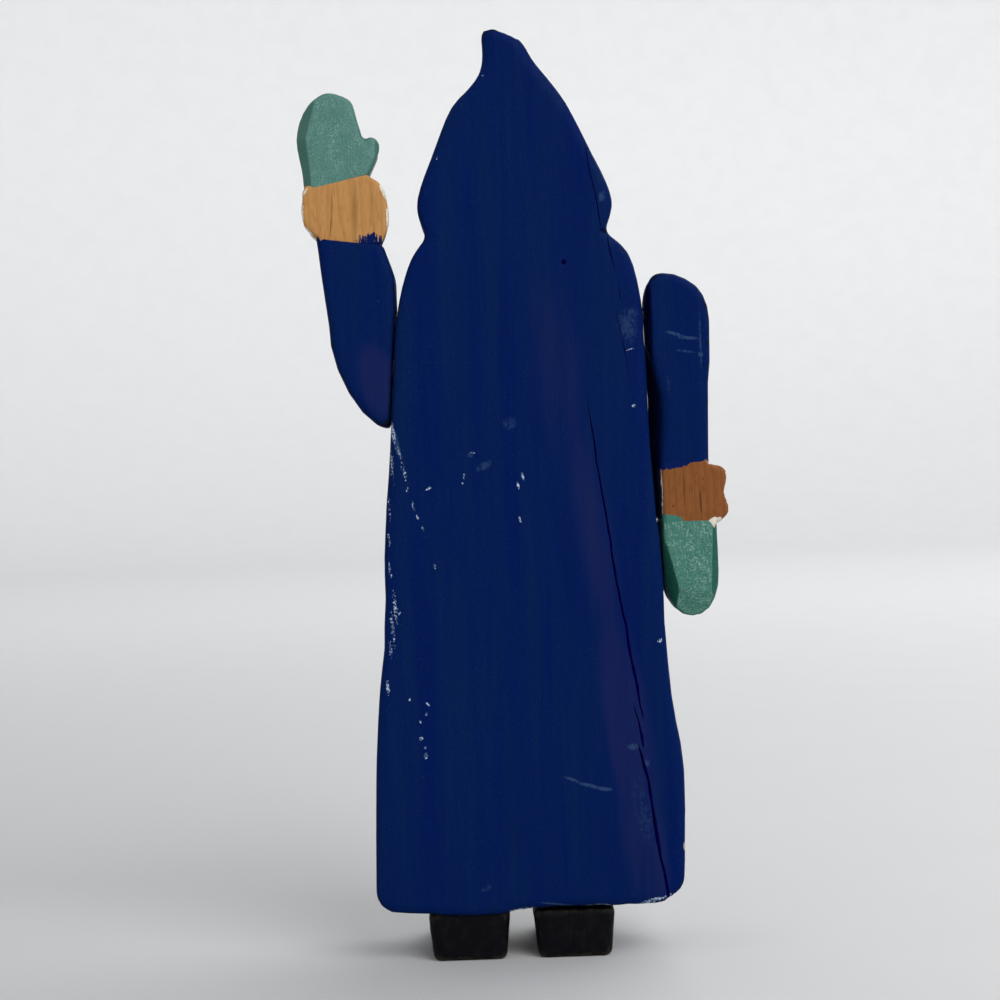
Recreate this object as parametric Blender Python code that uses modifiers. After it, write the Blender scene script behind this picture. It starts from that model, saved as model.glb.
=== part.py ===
"""A carved wooden figure of Father Christmas in a hooded robe, about 305 mm tall.

One plank makes the hood and the robe. The arms turn on pegs in its edges, the boots are doweled under it, and the
face, beard and fur trims are glued on its front. The figure stands on its soles at Z = 0 and faces -Y. Its left
arm, the raised one, is at +X. All sizes are in metres.
"""

import math
from itertools import accumulate

import bmesh
import bpy
from mathutils import Euler, Matrix, Vector
from mathutils.geometry import interpolate_bezier

# Clearances
GLUE_GAP = 0.0003
FIT_GAP = 0.0003
SHOULDER_GAP = 0.0004
WRIST_GAP = 0.0007

# Levels of the plank, each as its height above the level before it
SOLE_TO_HEM = 0.0163
HEM_TO_SKIRT = 0.0437
SKIRT_TO_KNEE = 0.0250
KNEE_TO_HIP = 0.0350
HIP_TO_WAIST = 0.0450
WAIST_TO_CHEST = 0.0350
CHEST_TO_SHOULDER = 0.0160
SHOULDER_TO_COLLAR = 0.0135
COLLAR_TO_NECK = 0.0072
NECK_TO_CHEEK = 0.0082
CHEEK_TO_TEMPLE = 0.0080
TEMPLE_TO_BROW = 0.0135
BROW_TO_CROWN = 0.0125
CROWN_TO_CURL = 0.0085
CURL_TO_SWAY = 0.0062
SWAY_TO_TIP = 0.0107

# How far the plank reaches from its middle line, on the figure's left and right
LEFT_HEM = 0.0510
LEFT_SKIRT = 0.0498
LEFT_KNEE = 0.0480
LEFT_HIP = 0.0447
LEFT_WAIST = 0.0415
LEFT_CHEST = 0.0391
LEFT_SHOULDER = 0.0369
LEFT_COLLAR = 0.0326
LEFT_NECK = 0.0272
LEFT_CHEEK = 0.0299
LEFT_TEMPLE = 0.0287
LEFT_BROW = 0.0230
LEFT_CROWN = 0.0168
LEFT_CURL = 0.0084
LEFT_SWAY = 0.0060
RIGHT_HEM = 0.0490
RIGHT_SKIRT = 0.0508
RIGHT_KNEE = 0.0476
RIGHT_HIP = 0.0456
RIGHT_WAIST = 0.0430
RIGHT_CHEST = 0.0428
RIGHT_SHOULDER = 0.0418
RIGHT_COLLAR = 0.0384
RIGHT_NECK = 0.0310
RIGHT_CHEEK = 0.0337
RIGHT_TEMPLE = 0.0320
RIGHT_BROW = 0.0257
RIGHT_CROWN = 0.0192
RIGHT_CURL = 0.0129
RIGHT_SWAY = 0.0082
RIGHT_PEAK = 0.0042
RIGHT_PEAK_BELOW_TIP = 0.0040
TIP_LEAN = 0.0032
TIP_WIDTH = 0.0058
LEFT_HEM_CORNER = 0.0070
RIGHT_HEM_CORNER = 0.0085
ROBE_DEPTH = 0.0380
ROBE_EDGE = 0.0020
NAIL_HOLE = 0.0017
NAIL_HOLE_DEPTH = 0.0080
NAIL_HOLE_X = -0.0170
NAIL_HOLE_BELOW_NECK = 0.0101

# Boots
BOOT_WIDTH = 0.0266
BOOT_SOLE_WIDTH = 0.0236
BOOT_LENGTH = 0.0500
BOOT_TOE_ROUND = 0.0110
BOOT_HEEL_ROUND = 0.0030
BOOT_EDGE = 0.0018
BOOT_INSET = 0.0020
LEFT_BOOT_X = 0.0210
RIGHT_BOOT_X = 0.0134
BOOT_DOWEL = 0.0080
BOOT_DOWEL_IN_BOOT = 0.0100
BOOT_DOWEL_IN_ROBE = 0.0180

# Face and beard
FACE_RADIUS = 0.0175
FACE_DEPTH = 0.0050
FACE_RISE = 0.0130
FACE_EDGE = 0.0012
MOUTH_DROP = 0.0090
NOSE_WIDTH = 0.0095
NOSE_HEIGHT = 0.0110
NOSE_DEPTH = 0.0060
MOUSTACHE_WIDTH = 0.0340
MOUSTACHE_HEIGHT = 0.0085
MOUSTACHE_DEPTH = 0.0040
MOUSTACHE_EDGE = 0.0010
BEARD_LENGTH = 0.0560
BEARD_WIDTH = 0.0440
BEARD_DEPTH = 0.0060
BEARD_EDGE = 0.0012

# White fur bands
HOOD_TRIM_WIDTH = 0.0065
HOOD_TRIM_DEPTH = 0.0070
HEM_TRIM_HEIGHT = 0.0140
HEM_TRIM_DEPTH = 0.0040
FRONT_TRIM_WIDTH = 0.0140
FRONT_TRIM_DEPTH = 0.0040
FRONT_TRIM_UNDER_BEARD = 0.0100
TRIM_EDGE = 0.0012

# Both arms
ARM_DEPTH = 0.0190
ARM_INSET = 0.0010
ARM_EDGE = 0.0020
CUFF_PROUD = 0.0015
CUFF_EDGE = 0.0016
SHOULDER_PEG = 0.0060
PEG_IN_ROBE = 0.0180
PEG_IN_SLEEVE = 0.0090
WRIST_DOWEL = 0.0050
DOWEL_IN_SLEEVE = 0.0100
DOWEL_IN_MITTEN = 0.0100

# Left arm, raised, along its own line up from the peg and out from the robe
LEFT_LEAN = math.radians(4.7)
LEFT_PEG_BELOW_NECK = 0.0420
LEFT_ELBOW_DROP = 0.0204
LEFT_SLEEVE_LENGTH = 0.0408
LEFT_ELBOW_WIDTH = 0.0207
LEFT_ELBOW_RISE = 0.0125
LEFT_ELBOW_FULLNESS = 1.65
LEFT_PAD_LENGTH = 0.0200
LEFT_WRIST_OUT = 0.0060
LEFT_WRIST_WIDTH = 0.0197
LEFT_CUFF_LENGTH = 0.0182
LEFT_CUFF_OUT = 0.0041
LEFT_CUFF_WIDTH = 0.0273
LEFT_CUFF_SLANT = 0.0055
LEFT_MITTEN_OUT = 0.0135
LEFT_MITTEN_WIDTH = 0.0212
LEFT_MITTEN_LENGTH = 0.0290
LEFT_THUMB_REACH = 0.0048
LEFT_THUMB_LENGTH = 0.0125
LEFT_DOWEL_OUT = 0.0180
LEFT_CUFF_LIP = 0.0006
LEFT_CUFF_FLARE = 0.0015
LEFT_CUFF_INNER_FLARE = 0.0022
LEFT_CUFF_SHORT_OF_HAND = 0.0030
LEFT_CUFF_PAST_THUMB = 0.0015
LEFT_THUMB_CREASE = 0.0012
LEFT_THUMB_CORNER_IN = 0.0006
LEFT_THUMB_CORNER_DOWN = 0.0008
LEFT_THUMB_SWELL = 0.0003
LEFT_THUMB_ROOT = 0.0024

# Right arm, hanging, along its own line down from the peg and out from the robe
RIGHT_LEAN = 0.0
RIGHT_PEG_BELOW_NECK = 0.0288
RIGHT_SHOULDER_RISE = 0.0148
RIGHT_SHOULDER_ROUND = 0.0160
RIGHT_PAD_LENGTH = 0.0040
RIGHT_SLEEVE_LENGTH = 0.0478
RIGHT_SLEEVE_WIDTH = 0.0166
RIGHT_WRIST_WIDTH = 0.0146
RIGHT_RELIEF = 0.0012
RIGHT_CUFF_LENGTH = 0.0180
RIGHT_CUFF_WIDTH = 0.0218
RIGHT_CUFF_WAIST = 0.0014
RIGHT_MITTEN_WIDTH = 0.0178
RIGHT_MITTEN_LENGTH = 0.0316
RIGHT_FINGER_ROUND = 0.0150
RIGHT_DOWEL_OUT = 0.0080
RIGHT_PAD_EASE = 0.0005
RIGHT_WRIST_FLARE = 0.0008
RIGHT_CUFF_LIP = 0.0012
RIGHT_CUFF_FLARE = 0.0018
RIGHT_CUFF_SCALLOP = 0.0006
RIGHT_CUFF_END = 0.0010
RIGHT_CUFF_SHORT_OF_HAND = 0.0005

# Curve and cylinder steps
CURVE_STEPS = 3
ARC_STEPS = 6
ROUND_SIDES = 24
WELD = 0.00001

# Where the levels and faces lie
(
    HEM_Z,
    SKIRT_Z,
    KNEE_Z,
    HIP_Z,
    WAIST_Z,
    CHEST_Z,
    SHOULDER_Z,
    COLLAR_Z,
    NECK_Z,
    CHEEK_Z,
    TEMPLE_Z,
    BROW_Z,
    CROWN_Z,
    CURL_Z,
    SWAY_Z,
    TIP_Z,
) = accumulate(
    (
        SOLE_TO_HEM,
        HEM_TO_SKIRT,
        SKIRT_TO_KNEE,
        KNEE_TO_HIP,
        HIP_TO_WAIST,
        WAIST_TO_CHEST,
        CHEST_TO_SHOULDER,
        SHOULDER_TO_COLLAR,
        COLLAR_TO_NECK,
        NECK_TO_CHEEK,
        CHEEK_TO_TEMPLE,
        TEMPLE_TO_BROW,
        BROW_TO_CROWN,
        CROWN_TO_CURL,
        CURL_TO_SWAY,
        SWAY_TO_TIP,
    )
)
BACK_Y = (BOOT_INSET + BOOT_LENGTH) / 2
FRONT_Y = BACK_Y - ROBE_DEPTH
GLUE_Y = FRONT_Y - GLUE_GAP
ARM_Y = BACK_Y - ARM_INSET - ARM_DEPTH / 2
FACE_X = (LEFT_CHEEK - RIGHT_CHEEK) / 2
FACE_Z = NECK_Z + FACE_RISE
MOUTH_Z = FACE_Z - MOUTH_DROP
HOOD_OPENING = FACE_RADIUS + GLUE_GAP
BEARD_TOP_Z = MOUTH_Z - GLUE_GAP
BEARD_TIP_Z = BEARD_TOP_Z - BEARD_LENGTH
FRONT_X = (LEFT_WAIST - RIGHT_WAIST) / 2
BOOT_Y = BACK_Y - BOOT_INSET - BOOT_LENGTH / 2
DOWEL_Y = BACK_Y - ROBE_DEPTH / 2

LEFT_SIDE = (
    (LEFT_SKIRT, SKIRT_Z),
    (LEFT_KNEE, KNEE_Z),
    (LEFT_HIP, HIP_Z),
    (LEFT_WAIST, WAIST_Z),
    (LEFT_CHEST, CHEST_Z),
    (LEFT_SHOULDER, SHOULDER_Z),
    (LEFT_COLLAR, COLLAR_Z),
    (LEFT_NECK, NECK_Z),
)
RIGHT_SIDE = (
    (RIGHT_SKIRT, SKIRT_Z),
    (RIGHT_KNEE, KNEE_Z),
    (RIGHT_HIP, HIP_Z),
    (RIGHT_WAIST, WAIST_Z),
    (RIGHT_CHEST, CHEST_Z),
    (RIGHT_SHOULDER, SHOULDER_Z),
    (RIGHT_COLLAR, COLLAR_Z),
    (RIGHT_NECK, NECK_Z),
)
LEFT_HOOD = (
    (LEFT_NECK, NECK_Z),
    (LEFT_CHEEK, CHEEK_Z),
    (LEFT_TEMPLE, TEMPLE_Z),
    (LEFT_BROW, BROW_Z),
    (LEFT_CROWN, CROWN_Z),
    (LEFT_CURL, CURL_Z),
    (LEFT_SWAY, SWAY_Z),
    (TIP_LEAN + TIP_WIDTH / 2, TIP_Z - TIP_WIDTH / 2),
)
RIGHT_HOOD = (
    (RIGHT_NECK, NECK_Z),
    (RIGHT_CHEEK, CHEEK_Z),
    (RIGHT_TEMPLE, TEMPLE_Z),
    (RIGHT_BROW, BROW_Z),
    (RIGHT_CROWN, CROWN_Z),
    (RIGHT_CURL, CURL_Z),
    (RIGHT_SWAY, SWAY_Z),
    (RIGHT_PEAK, TIP_Z - RIGHT_PEAK_BELOW_TIP),
    (-TIP_LEAN, TIP_Z),
)


# Scene and materials
def clear_scene():
    for obj in list(bpy.data.objects):
        bpy.data.objects.remove(obj)


def new_collection(name):
    collection = bpy.data.collections.new(name)
    bpy.context.scene.collection.children.link(collection)
    return collection


def new_finish(name, colour, roughness):
    """A painted or bare wooden finish."""
    material = bpy.data.materials.new(name)
    material.use_nodes = True
    shader = material.node_tree.nodes["Principled BSDF"]
    shader.inputs["Base Color"].default_value = (*colour, 1.0)
    shader.inputs["Roughness"].default_value = roughness
    shader.inputs["Metallic"].default_value = 0.0
    material.diffuse_color = (*colour, 1.0)
    return material


clear_scene()
FIGURE = new_collection("carved_wooden_santa")
CUTTERS = new_collection("cutters")
CUTTERS.hide_render = True


# Outlines
def smooth(points):
    """The points of a curve that runs smoothly through the given ones."""
    knots = [Vector((x, z, 0.0)) for x, z in points]
    line = []
    for i in range(len(knots) - 1):
        before = knots[max(i - 1, 0)]
        after = knots[min(i + 2, len(knots) - 1)]
        start, end = knots[i], knots[i + 1]
        leaving = start + (end - before) / 6
        arriving = end - (after - start) / 6
        stretch = interpolate_bezier(start, leaving, arriving, end, CURVE_STEPS + 1)
        line.extend(stretch[:-1])
    line.append(knots[-1])
    return [(point.x, point.y) for point in line]


def arc(x, z, reach_x, reach_z, start, end, fullness=2.0, steps=ARC_STEPS):
    """Points of an elliptic arc, square-shouldered where fullness is over 2. Angles are in degrees."""
    points = []
    for i in range(steps + 1):
        angle = math.radians(start + (end - start) * i / steps)
        cosine, sine = math.cos(angle), math.sin(angle)
        across = math.copysign(abs(cosine) ** (2 / fullness), cosine)
        along = math.copysign(abs(sine) ** (2 / fullness), sine)
        points.append((x + reach_x * across, z + reach_z * along))
    return points


def mirrored(points):
    return [(-x, z) for x, z in reversed(points)]


def skirt_corner(reach, corner, inset=0.0):
    """A rounded lower corner of the plank, from its underside out to its edge."""
    return arc(reach - corner, HEM_Z + corner, corner - inset, corner - inset, -90, 0)


def side_line(reach, corner, side):
    """One edge of the plank, from its lower corner up to the neck."""
    return skirt_corner(reach, corner)[:-1] + smooth(((reach, HEM_Z + corner), *side))


def left_line():
    return side_line(LEFT_HEM, LEFT_HEM_CORNER, LEFT_SIDE)


def right_line():
    return side_line(RIGHT_HEM, RIGHT_HEM_CORNER, RIGHT_SIDE)


def tip_line():
    """The rounded tip of the hood, from the figure's left up to its top."""
    middle = TIP_Z - TIP_WIDTH / 2
    return arc(TIP_LEAN, middle, TIP_WIDTH / 2, TIP_WIDTH / 2, 0, 90)[1:-1]


def robe_outline():
    left = left_line()[:-1] + smooth(LEFT_HOOD)
    right = right_line()[:-1] + smooth(RIGHT_HOOD)
    return left + tip_line() + mirrored(right)


def reach_at(line, z):
    """How far an edge line reaches at a height, read between its points."""
    for (low_x, low_z), (high_x, high_z) in zip(line, line[1:]):
        if low_z <= z <= high_z and high_z > low_z:
            return low_x + (high_x - low_x) * (z - low_z) / (high_z - low_z)
    return 0.0


def farthest(line, lean, peg_z, span):
    """How far the edge stands out along an arm's peg, within a span up and down from the peg."""
    samples = 24
    heights = [peg_z + span * (2 * i / samples - 1) for i in range(samples + 1)]
    return max(
        reach_at(line, z) * math.cos(lean) + (z - peg_z) * math.sin(lean) for z in heights
    )


# Solids
def add_object(name, mesh, finish, matrix, parent=None, collection=FIGURE):
    obj = bpy.data.objects.new(name, mesh)
    collection.objects.link(obj)
    obj.parent = parent
    obj.matrix_local = matrix
    if finish:
        mesh.materials.append(finish)
    return obj


def add_empty(name, matrix, parent=None):
    empty = bpy.data.objects.new(name, None)
    FIGURE.objects.link(empty)
    empty.parent = parent
    empty.matrix_local = matrix
    return empty


def sawn_mesh(name, outline, depth):
    """A flat board sawn to an outline, centred on its own thickness."""
    curve = bpy.data.curves.new(name, "CURVE")
    curve.dimensions = "2D"
    curve.fill_mode = "BOTH"
    curve.extrude = depth / 2
    spline = curve.splines.new("POLY")
    spline.points.add(len(outline) - 1)
    for point, (x, z) in zip(spline.points, outline):
        point.co = (x, z, 0.0, 1.0)
    spline.use_cyclic_u = True
    sketch = bpy.data.objects.new(name, curve)
    bpy.context.scene.collection.objects.link(sketch)
    graph = bpy.context.evaluated_depsgraph_get()
    mesh = bpy.data.meshes.new_from_object(sketch.evaluated_get(graph))
    bpy.data.objects.remove(sketch)
    bpy.data.curves.remove(curve)
    board = bmesh.new()
    board.from_mesh(mesh)
    bmesh.ops.remove_doubles(board, verts=board.verts, dist=WELD)
    bmesh.ops.dissolve_limit(
        board,
        angle_limit=math.radians(1),
        verts=board.verts,
        edges=[edge for edge in board.edges if edge.calc_face_angle(1) < math.radians(1)],
    )
    bmesh.ops.recalc_face_normals(board, faces=board.faces)
    board.to_mesh(mesh)
    board.free()
    mesh.name = name
    return mesh


def round_edges(obj, width, segments=2):
    bevel = obj.modifiers.new("rounded_edges", "BEVEL")
    bevel.width = width
    bevel.segments = segments
    bevel.limit_method = "ANGLE"
    bevel.angle_limit = math.radians(50)
    obj.data.shade_smooth()
    obj.data.set_sharp_from_angle(angle=math.radians(40))
    return obj


def upright(y):
    """The place of a board drawn flat: its outline stands up in the XZ plane, and its middle is at y."""
    return Matrix.Translation((0.0, y, 0.0)) @ Euler((math.radians(90), 0.0, 0.0)).to_matrix().to_4x4()


def add_board(name, outline, back_y, depth, edge, finish, parent=None):
    """A sawn board whose back face is at back_y, with rounded edges."""
    mesh = sawn_mesh(name, outline, depth)
    board = add_object(name, mesh, finish, upright(back_y - depth / 2), parent)
    return round_edges(board, edge)


def rod_mesh(name, diameter, length, sides=ROUND_SIDES):
    """A round rod along its own Z, starting at its origin."""
    rod = bmesh.new()
    bmesh.ops.create_cone(
        rod,
        cap_ends=True,
        segments=sides,
        radius1=diameter / 2,
        radius2=diameter / 2,
        depth=length,
        matrix=Matrix.Translation((0.0, 0.0, length / 2)),
    )
    mesh = bpy.data.meshes.new(name)
    rod.to_mesh(mesh)
    rod.free()
    mesh.shade_smooth()
    mesh.set_sharp_from_angle(angle=math.radians(40))
    return mesh


def add_cutter(name, mesh, matrix, parent=None):
    cutter = add_object(name, mesh, None, matrix, parent, CUTTERS)
    cutter.hide_render = True
    cutter.display_type = "WIRE"
    return cutter


def cut(obj, cutter):
    boolean = obj.modifiers.new(cutter.name, "BOOLEAN")
    boolean.operation = "DIFFERENCE"
    boolean.solver = "EXACT"
    boolean.object = cutter
    return obj


# Finishes
ROBE_BLUE = new_finish("robe_blue_paint", (0.006, 0.018, 0.105), 0.42)
TRIM_WHITE = new_finish("trim_white_paint", (0.72, 0.69, 0.61), 0.60)
FACE_PINK = new_finish("face_paint", (0.68, 0.40, 0.29), 0.50)
NOSE_PINK = new_finish("nose_paint", (0.66, 0.27, 0.20), 0.48)
LEFT_GREEN = new_finish("left_mitten_green", (0.085, 0.250, 0.190), 0.50)
RIGHT_GREEN = new_finish("right_mitten_green", (0.055, 0.260, 0.170), 0.45)
LEFT_PINE = new_finish("left_cuff_wood", (0.440, 0.230, 0.085), 0.62)
RIGHT_PINE = new_finish("right_cuff_wood", (0.210, 0.085, 0.030), 0.62)
DOWEL_WOOD = new_finish("dowel_wood", (0.500, 0.330, 0.170), 0.65)
BOOT_BLACK = new_finish("boot_black_paint", (0.008, 0.009, 0.012), 0.38)

ROOT = add_empty("figure", Matrix.Identity(4))


# Robe
def add_robe():
    robe = add_board("robe_body", robe_outline(), BACK_Y, ROBE_DEPTH, ROBE_EDGE, ROBE_BLUE, ROOT)
    hole = rod_mesh("nail_hole", NAIL_HOLE, 2 * NAIL_HOLE_DEPTH, sides=12)
    inward = Euler((math.radians(90), 0.0, 0.0)).to_matrix().to_4x4()
    start = (NAIL_HOLE_X, BACK_Y + NAIL_HOLE_DEPTH, NECK_Z - NAIL_HOLE_BELOW_NECK)
    return cut(robe, add_cutter("nail_hole", hole, Matrix.Translation(start) @ inward))


# Boots
def boot_plan():
    """The boot seen from above, with its toe toward -Y."""
    half, back = BOOT_WIDTH / 2, BOOT_LENGTH / 2
    toe, heel = BOOT_TOE_ROUND, BOOT_HEEL_ROUND
    right_half = arc(half - toe, toe - back, toe, toe, -90, 0)
    right_half += arc(half - heel, back - heel, heel, heel, 0, 90, steps=3)
    return right_half + mirrored(right_half)


def add_boot(name, x, robe):
    height = SOLE_TO_HEM - GLUE_GAP
    mesh = sawn_mesh(name, boot_plan(), height)
    for vertex in mesh.vertices:
        if vertex.co.z < 0.0:
            vertex.co.x *= BOOT_SOLE_WIDTH / BOOT_WIDTH
    place = Matrix.Translation((x, BOOT_Y, height / 2))
    boot = round_edges(add_object(name, mesh, BOOT_BLACK, place, ROOT), BOOT_EDGE)
    bottom = height - BOOT_DOWEL_IN_BOOT
    top = HEM_Z + BOOT_DOWEL_IN_ROBE
    dowel = rod_mesh(name + "_dowel", BOOT_DOWEL, top - bottom)
    seat = Matrix.Translation((x, DOWEL_Y, bottom))
    add_object(name + "_dowel", dowel, DOWEL_WOOD, seat, ROOT)
    hole = rod_mesh(name + "_hole", BOOT_DOWEL + 2 * FIT_GAP, top - bottom + 2 * FIT_GAP)
    cutter = add_cutter(
        name + "_hole", hole, Matrix.Translation((x, DOWEL_Y, bottom - FIT_GAP))
    )
    cut(boot, cutter)
    cut(robe, cutter)


# Face, beard and trims
def chord_angle(radius):
    """The angle, in degrees, at which a circle round the face meets the mouth line."""
    return math.degrees(math.asin(-MOUTH_DROP / radius))


def add_face():
    low = chord_angle(FACE_RADIUS)
    outline = arc(FACE_X, FACE_Z, FACE_RADIUS, FACE_RADIUS, low, 180 - low, steps=20)
    return add_board("face", outline, GLUE_Y, FACE_DEPTH, FACE_EDGE, FACE_PINK, ROOT)


def add_hood_trim():
    outer = HOOD_OPENING + HOOD_TRIM_WIDTH
    low_outer, low_inner = chord_angle(outer), chord_angle(HOOD_OPENING)
    outline = arc(FACE_X, FACE_Z, outer, outer, low_outer, 180 - low_outer, steps=24)
    outline += arc(FACE_X, FACE_Z, HOOD_OPENING, HOOD_OPENING, 180 - low_inner, low_inner, steps=20)
    return add_board(
        "hood_trim", outline, GLUE_Y, HOOD_TRIM_DEPTH, TRIM_EDGE, TRIM_WHITE, ROOT
    )


def beard_outline(grow=0.0):
    """The beard, wide under the mouth and wavy down to a point. Grow widens it for the cut in the trim."""
    half, length = BEARD_WIDTH / 2, BEARD_LENGTH
    top = BEARD_TOP_Z + grow
    edge = smooth(
        (
            (FACE_X + 0.92 * half, top),
            (FACE_X + half + grow, top - 0.14 * length),
            (FACE_X + 0.94 * half + grow, top - 0.34 * length),
            (FACE_X + 0.70 * half + grow, top - 0.58 * length),
            (FACE_X + 0.42 * half + grow, top - 0.80 * length),
            (FACE_X + 0.10 * half + grow, BEARD_TIP_Z - grow),
        )
    )
    other = [(2 * FACE_X - x, z) for x, z in edge]
    return edge + other[::-1]


def add_beard():
    return add_board(
        "beard", beard_outline(), GLUE_Y, BEARD_DEPTH, BEARD_EDGE, TRIM_WHITE, ROOT
    )


def add_moustache():
    half, height = MOUSTACHE_WIDTH / 2, MOUSTACHE_HEIGHT
    edge = smooth(
        (
            (0.0, 0.20 * height),
            (0.30 * half, 0.50 * height),
            (0.72 * half, 0.22 * height),
            (half, -0.38 * height),
            (0.70 * half, -0.50 * height),
            (0.28 * half, -0.36 * height),
            (0.0, -0.20 * height),
        )
    )
    outline = edge + [(-x, z) for x, z in edge[-2:0:-1]]
    placed = [(FACE_X + x, MOUTH_Z + z) for x, z in outline]
    seat_y = GLUE_Y - max(FACE_DEPTH, BEARD_DEPTH) - GLUE_GAP
    return add_board(
        "moustache", placed, seat_y, MOUSTACHE_DEPTH, MOUSTACHE_EDGE, TRIM_WHITE, ROOT
    )


def add_nose():
    """Half of an egg, flat where it sits on the face."""
    egg = bmesh.new()
    bmesh.ops.create_uvsphere(egg, u_segments=16, v_segments=12, radius=1.0)
    bmesh.ops.scale(egg, vec=(NOSE_WIDTH / 2, NOSE_DEPTH, NOSE_HEIGHT / 2), verts=egg.verts)
    cut_off = bmesh.ops.bisect_plane(
        egg,
        geom=egg.verts[:] + egg.edges[:] + egg.faces[:],
        plane_co=(0.0, 0.0, 0.0),
        plane_no=(0.0, 1.0, 0.0),
        clear_outer=True,
    )
    rim = [item for item in cut_off["geom_cut"] if isinstance(item, bmesh.types.BMEdge)]
    bmesh.ops.edgeloop_fill(egg, edges=rim)
    bmesh.ops.recalc_face_normals(egg, faces=egg.faces)
    mesh = bpy.data.meshes.new("nose")
    egg.to_mesh(mesh)
    egg.free()
    mesh.shade_smooth()
    mesh.set_sharp_from_angle(angle=math.radians(60))
    z = MOUTH_Z + MOUSTACHE_HEIGHT / 2 + GLUE_GAP + NOSE_HEIGHT / 2
    seat = (FACE_X, GLUE_Y - FACE_DEPTH - GLUE_GAP, z)
    return add_object("nose", mesh, NOSE_PINK, Matrix.Translation(seat), ROOT)


def add_hem_trim():
    """The white band along the front of the hem, inside the plank's rounded edges."""
    top = HEM_Z + HEM_TRIM_HEIGHT
    left = skirt_corner(LEFT_HEM, LEFT_HEM_CORNER, ROBE_EDGE)
    left.append((reach_at(left_line(), top) - ROBE_EDGE, top))
    right = skirt_corner(RIGHT_HEM, RIGHT_HEM_CORNER, ROBE_EDGE)
    right.append((reach_at(right_line(), top) - ROBE_EDGE, top))
    return add_board(
        "hem_trim",
        left + mirrored(right),
        GLUE_Y,
        HEM_TRIM_DEPTH,
        TRIM_EDGE,
        TRIM_WHITE,
        ROOT,
    )


def add_front_trim():
    """The white band down the robe's front, cut to the beard at its top."""
    half = FRONT_TRIM_WIDTH / 2
    low = HEM_Z + HEM_TRIM_HEIGHT + GLUE_GAP
    high = BEARD_TIP_Z + FRONT_TRIM_UNDER_BEARD
    corners = ((1, low), (1, high), (-1, high), (-1, low))
    outline = [(FRONT_X + side * half, z) for side, z in corners]
    trim = add_board(
        "front_trim", outline, GLUE_Y, FRONT_TRIM_DEPTH, TRIM_EDGE, TRIM_WHITE, ROOT
    )
    space = sawn_mesh("beard_space", beard_outline(1.5 * GLUE_GAP), 4 * FRONT_TRIM_DEPTH)
    return cut(trim, add_cutter("beard_space", space, upright(GLUE_Y)))


# Arms
def clear_of_robe(line, lean, peg_below_neck, pad, reach):
    """How far out past its pad's seat an arm stays, to pass the robe within a reach of its peg."""
    peg_z = NECK_Z - peg_below_neck
    seat, swept = (farthest(line, lean, peg_z, span) for span in (pad, reach))
    return swept - seat + WRIST_GAP


def arm_frame(side, line, lean, peg_below_neck, pad, arm_length):
    """The place of an arm's peg, and how far out all of the arm past its pad stays.

    In an arm's own frame X runs out along the peg and Z runs along the arm, from the peg to the hand.
    """
    peg_z = NECK_Z - peg_below_neck
    seat = farthest(line, lean, peg_z, pad)
    turn = -lean if side > 0 else math.pi + lean
    place = Matrix.Translation((side * seat / math.cos(lean), ARM_Y, peg_z))
    clear = clear_of_robe(line, lean, peg_below_neck, pad, arm_length)
    return place @ Matrix.Rotation(turn, 4, "Y"), clear


def add_arm_board(name, outline, edge, finish, arm, proud=0.0):
    """A board of an arm. Its back is the arm's back, and it stands proud at the front."""
    return add_board(name, outline, ARM_DEPTH / 2, ARM_DEPTH + proud, edge, finish, arm)


def add_shoulder_peg(name, frame, robe, sleeve):
    outward = Matrix.Rotation(math.radians(90), 4, "Y")
    start = Matrix.Translation((-PEG_IN_ROBE, 0.0, 0.0))
    length = PEG_IN_ROBE + SHOULDER_GAP + PEG_IN_SLEEVE
    peg = rod_mesh(name, SHOULDER_PEG, length)
    add_object(name, peg, DOWEL_WOOD, frame @ start @ outward, ROOT)
    hole = rod_mesh(name + "_hole", SHOULDER_PEG + 2 * FIT_GAP, length + 2 * FIT_GAP)
    start = Matrix.Translation((-PEG_IN_ROBE - FIT_GAP, 0.0, 0.0))
    cutter = add_cutter(name + "_hole", hole, frame @ start @ outward)
    cut(robe, cutter)
    cut(sleeve, cutter)


def add_wrist_dowel(name, out, wrist, hand, boards, arm):
    """The dowel that runs from the sleeve through the cuff into the mitten."""
    low, high = wrist - DOWEL_IN_SLEEVE, hand + DOWEL_IN_MITTEN
    dowel = rod_mesh(name, WRIST_DOWEL, high - low)
    add_object(name, dowel, DOWEL_WOOD, Matrix.Translation((out, 0.0, low)), arm)
    hole = rod_mesh(name + "_hole", WRIST_DOWEL + 2 * FIT_GAP, high - low + 2 * FIT_GAP)
    cutter = add_cutter(name + "_hole", hole, Matrix.Translation((out, 0.0, low - FIT_GAP)), arm)
    for board in boards:
        cut(board, cutter)


def left_sleeve_outline(clear):
    """Flat against the robe, round at the elbow, and leaning out to the wrist."""
    pad, wrist = SHOULDER_GAP, LEFT_SLEEVE_LENGTH
    wrist_in = clear + LEFT_WRIST_OUT
    elbow = arc(
        pad,
        LEFT_ELBOW_RISE,
        clear + LEFT_ELBOW_WIDTH - pad,
        LEFT_ELBOW_RISE + LEFT_ELBOW_DROP,
        -90,
        0,
        LEFT_ELBOW_FULLNESS,
    )
    return [
        *elbow,
        (wrist_in + LEFT_WRIST_WIDTH, wrist),
        (wrist_in, wrist),
        (clear + 0.30 * LEFT_WRIST_OUT, LEFT_PAD_LENGTH + 0.50 * (wrist - LEFT_PAD_LENGTH)),
        (pad, LEFT_PAD_LENGTH),
    ]


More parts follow.
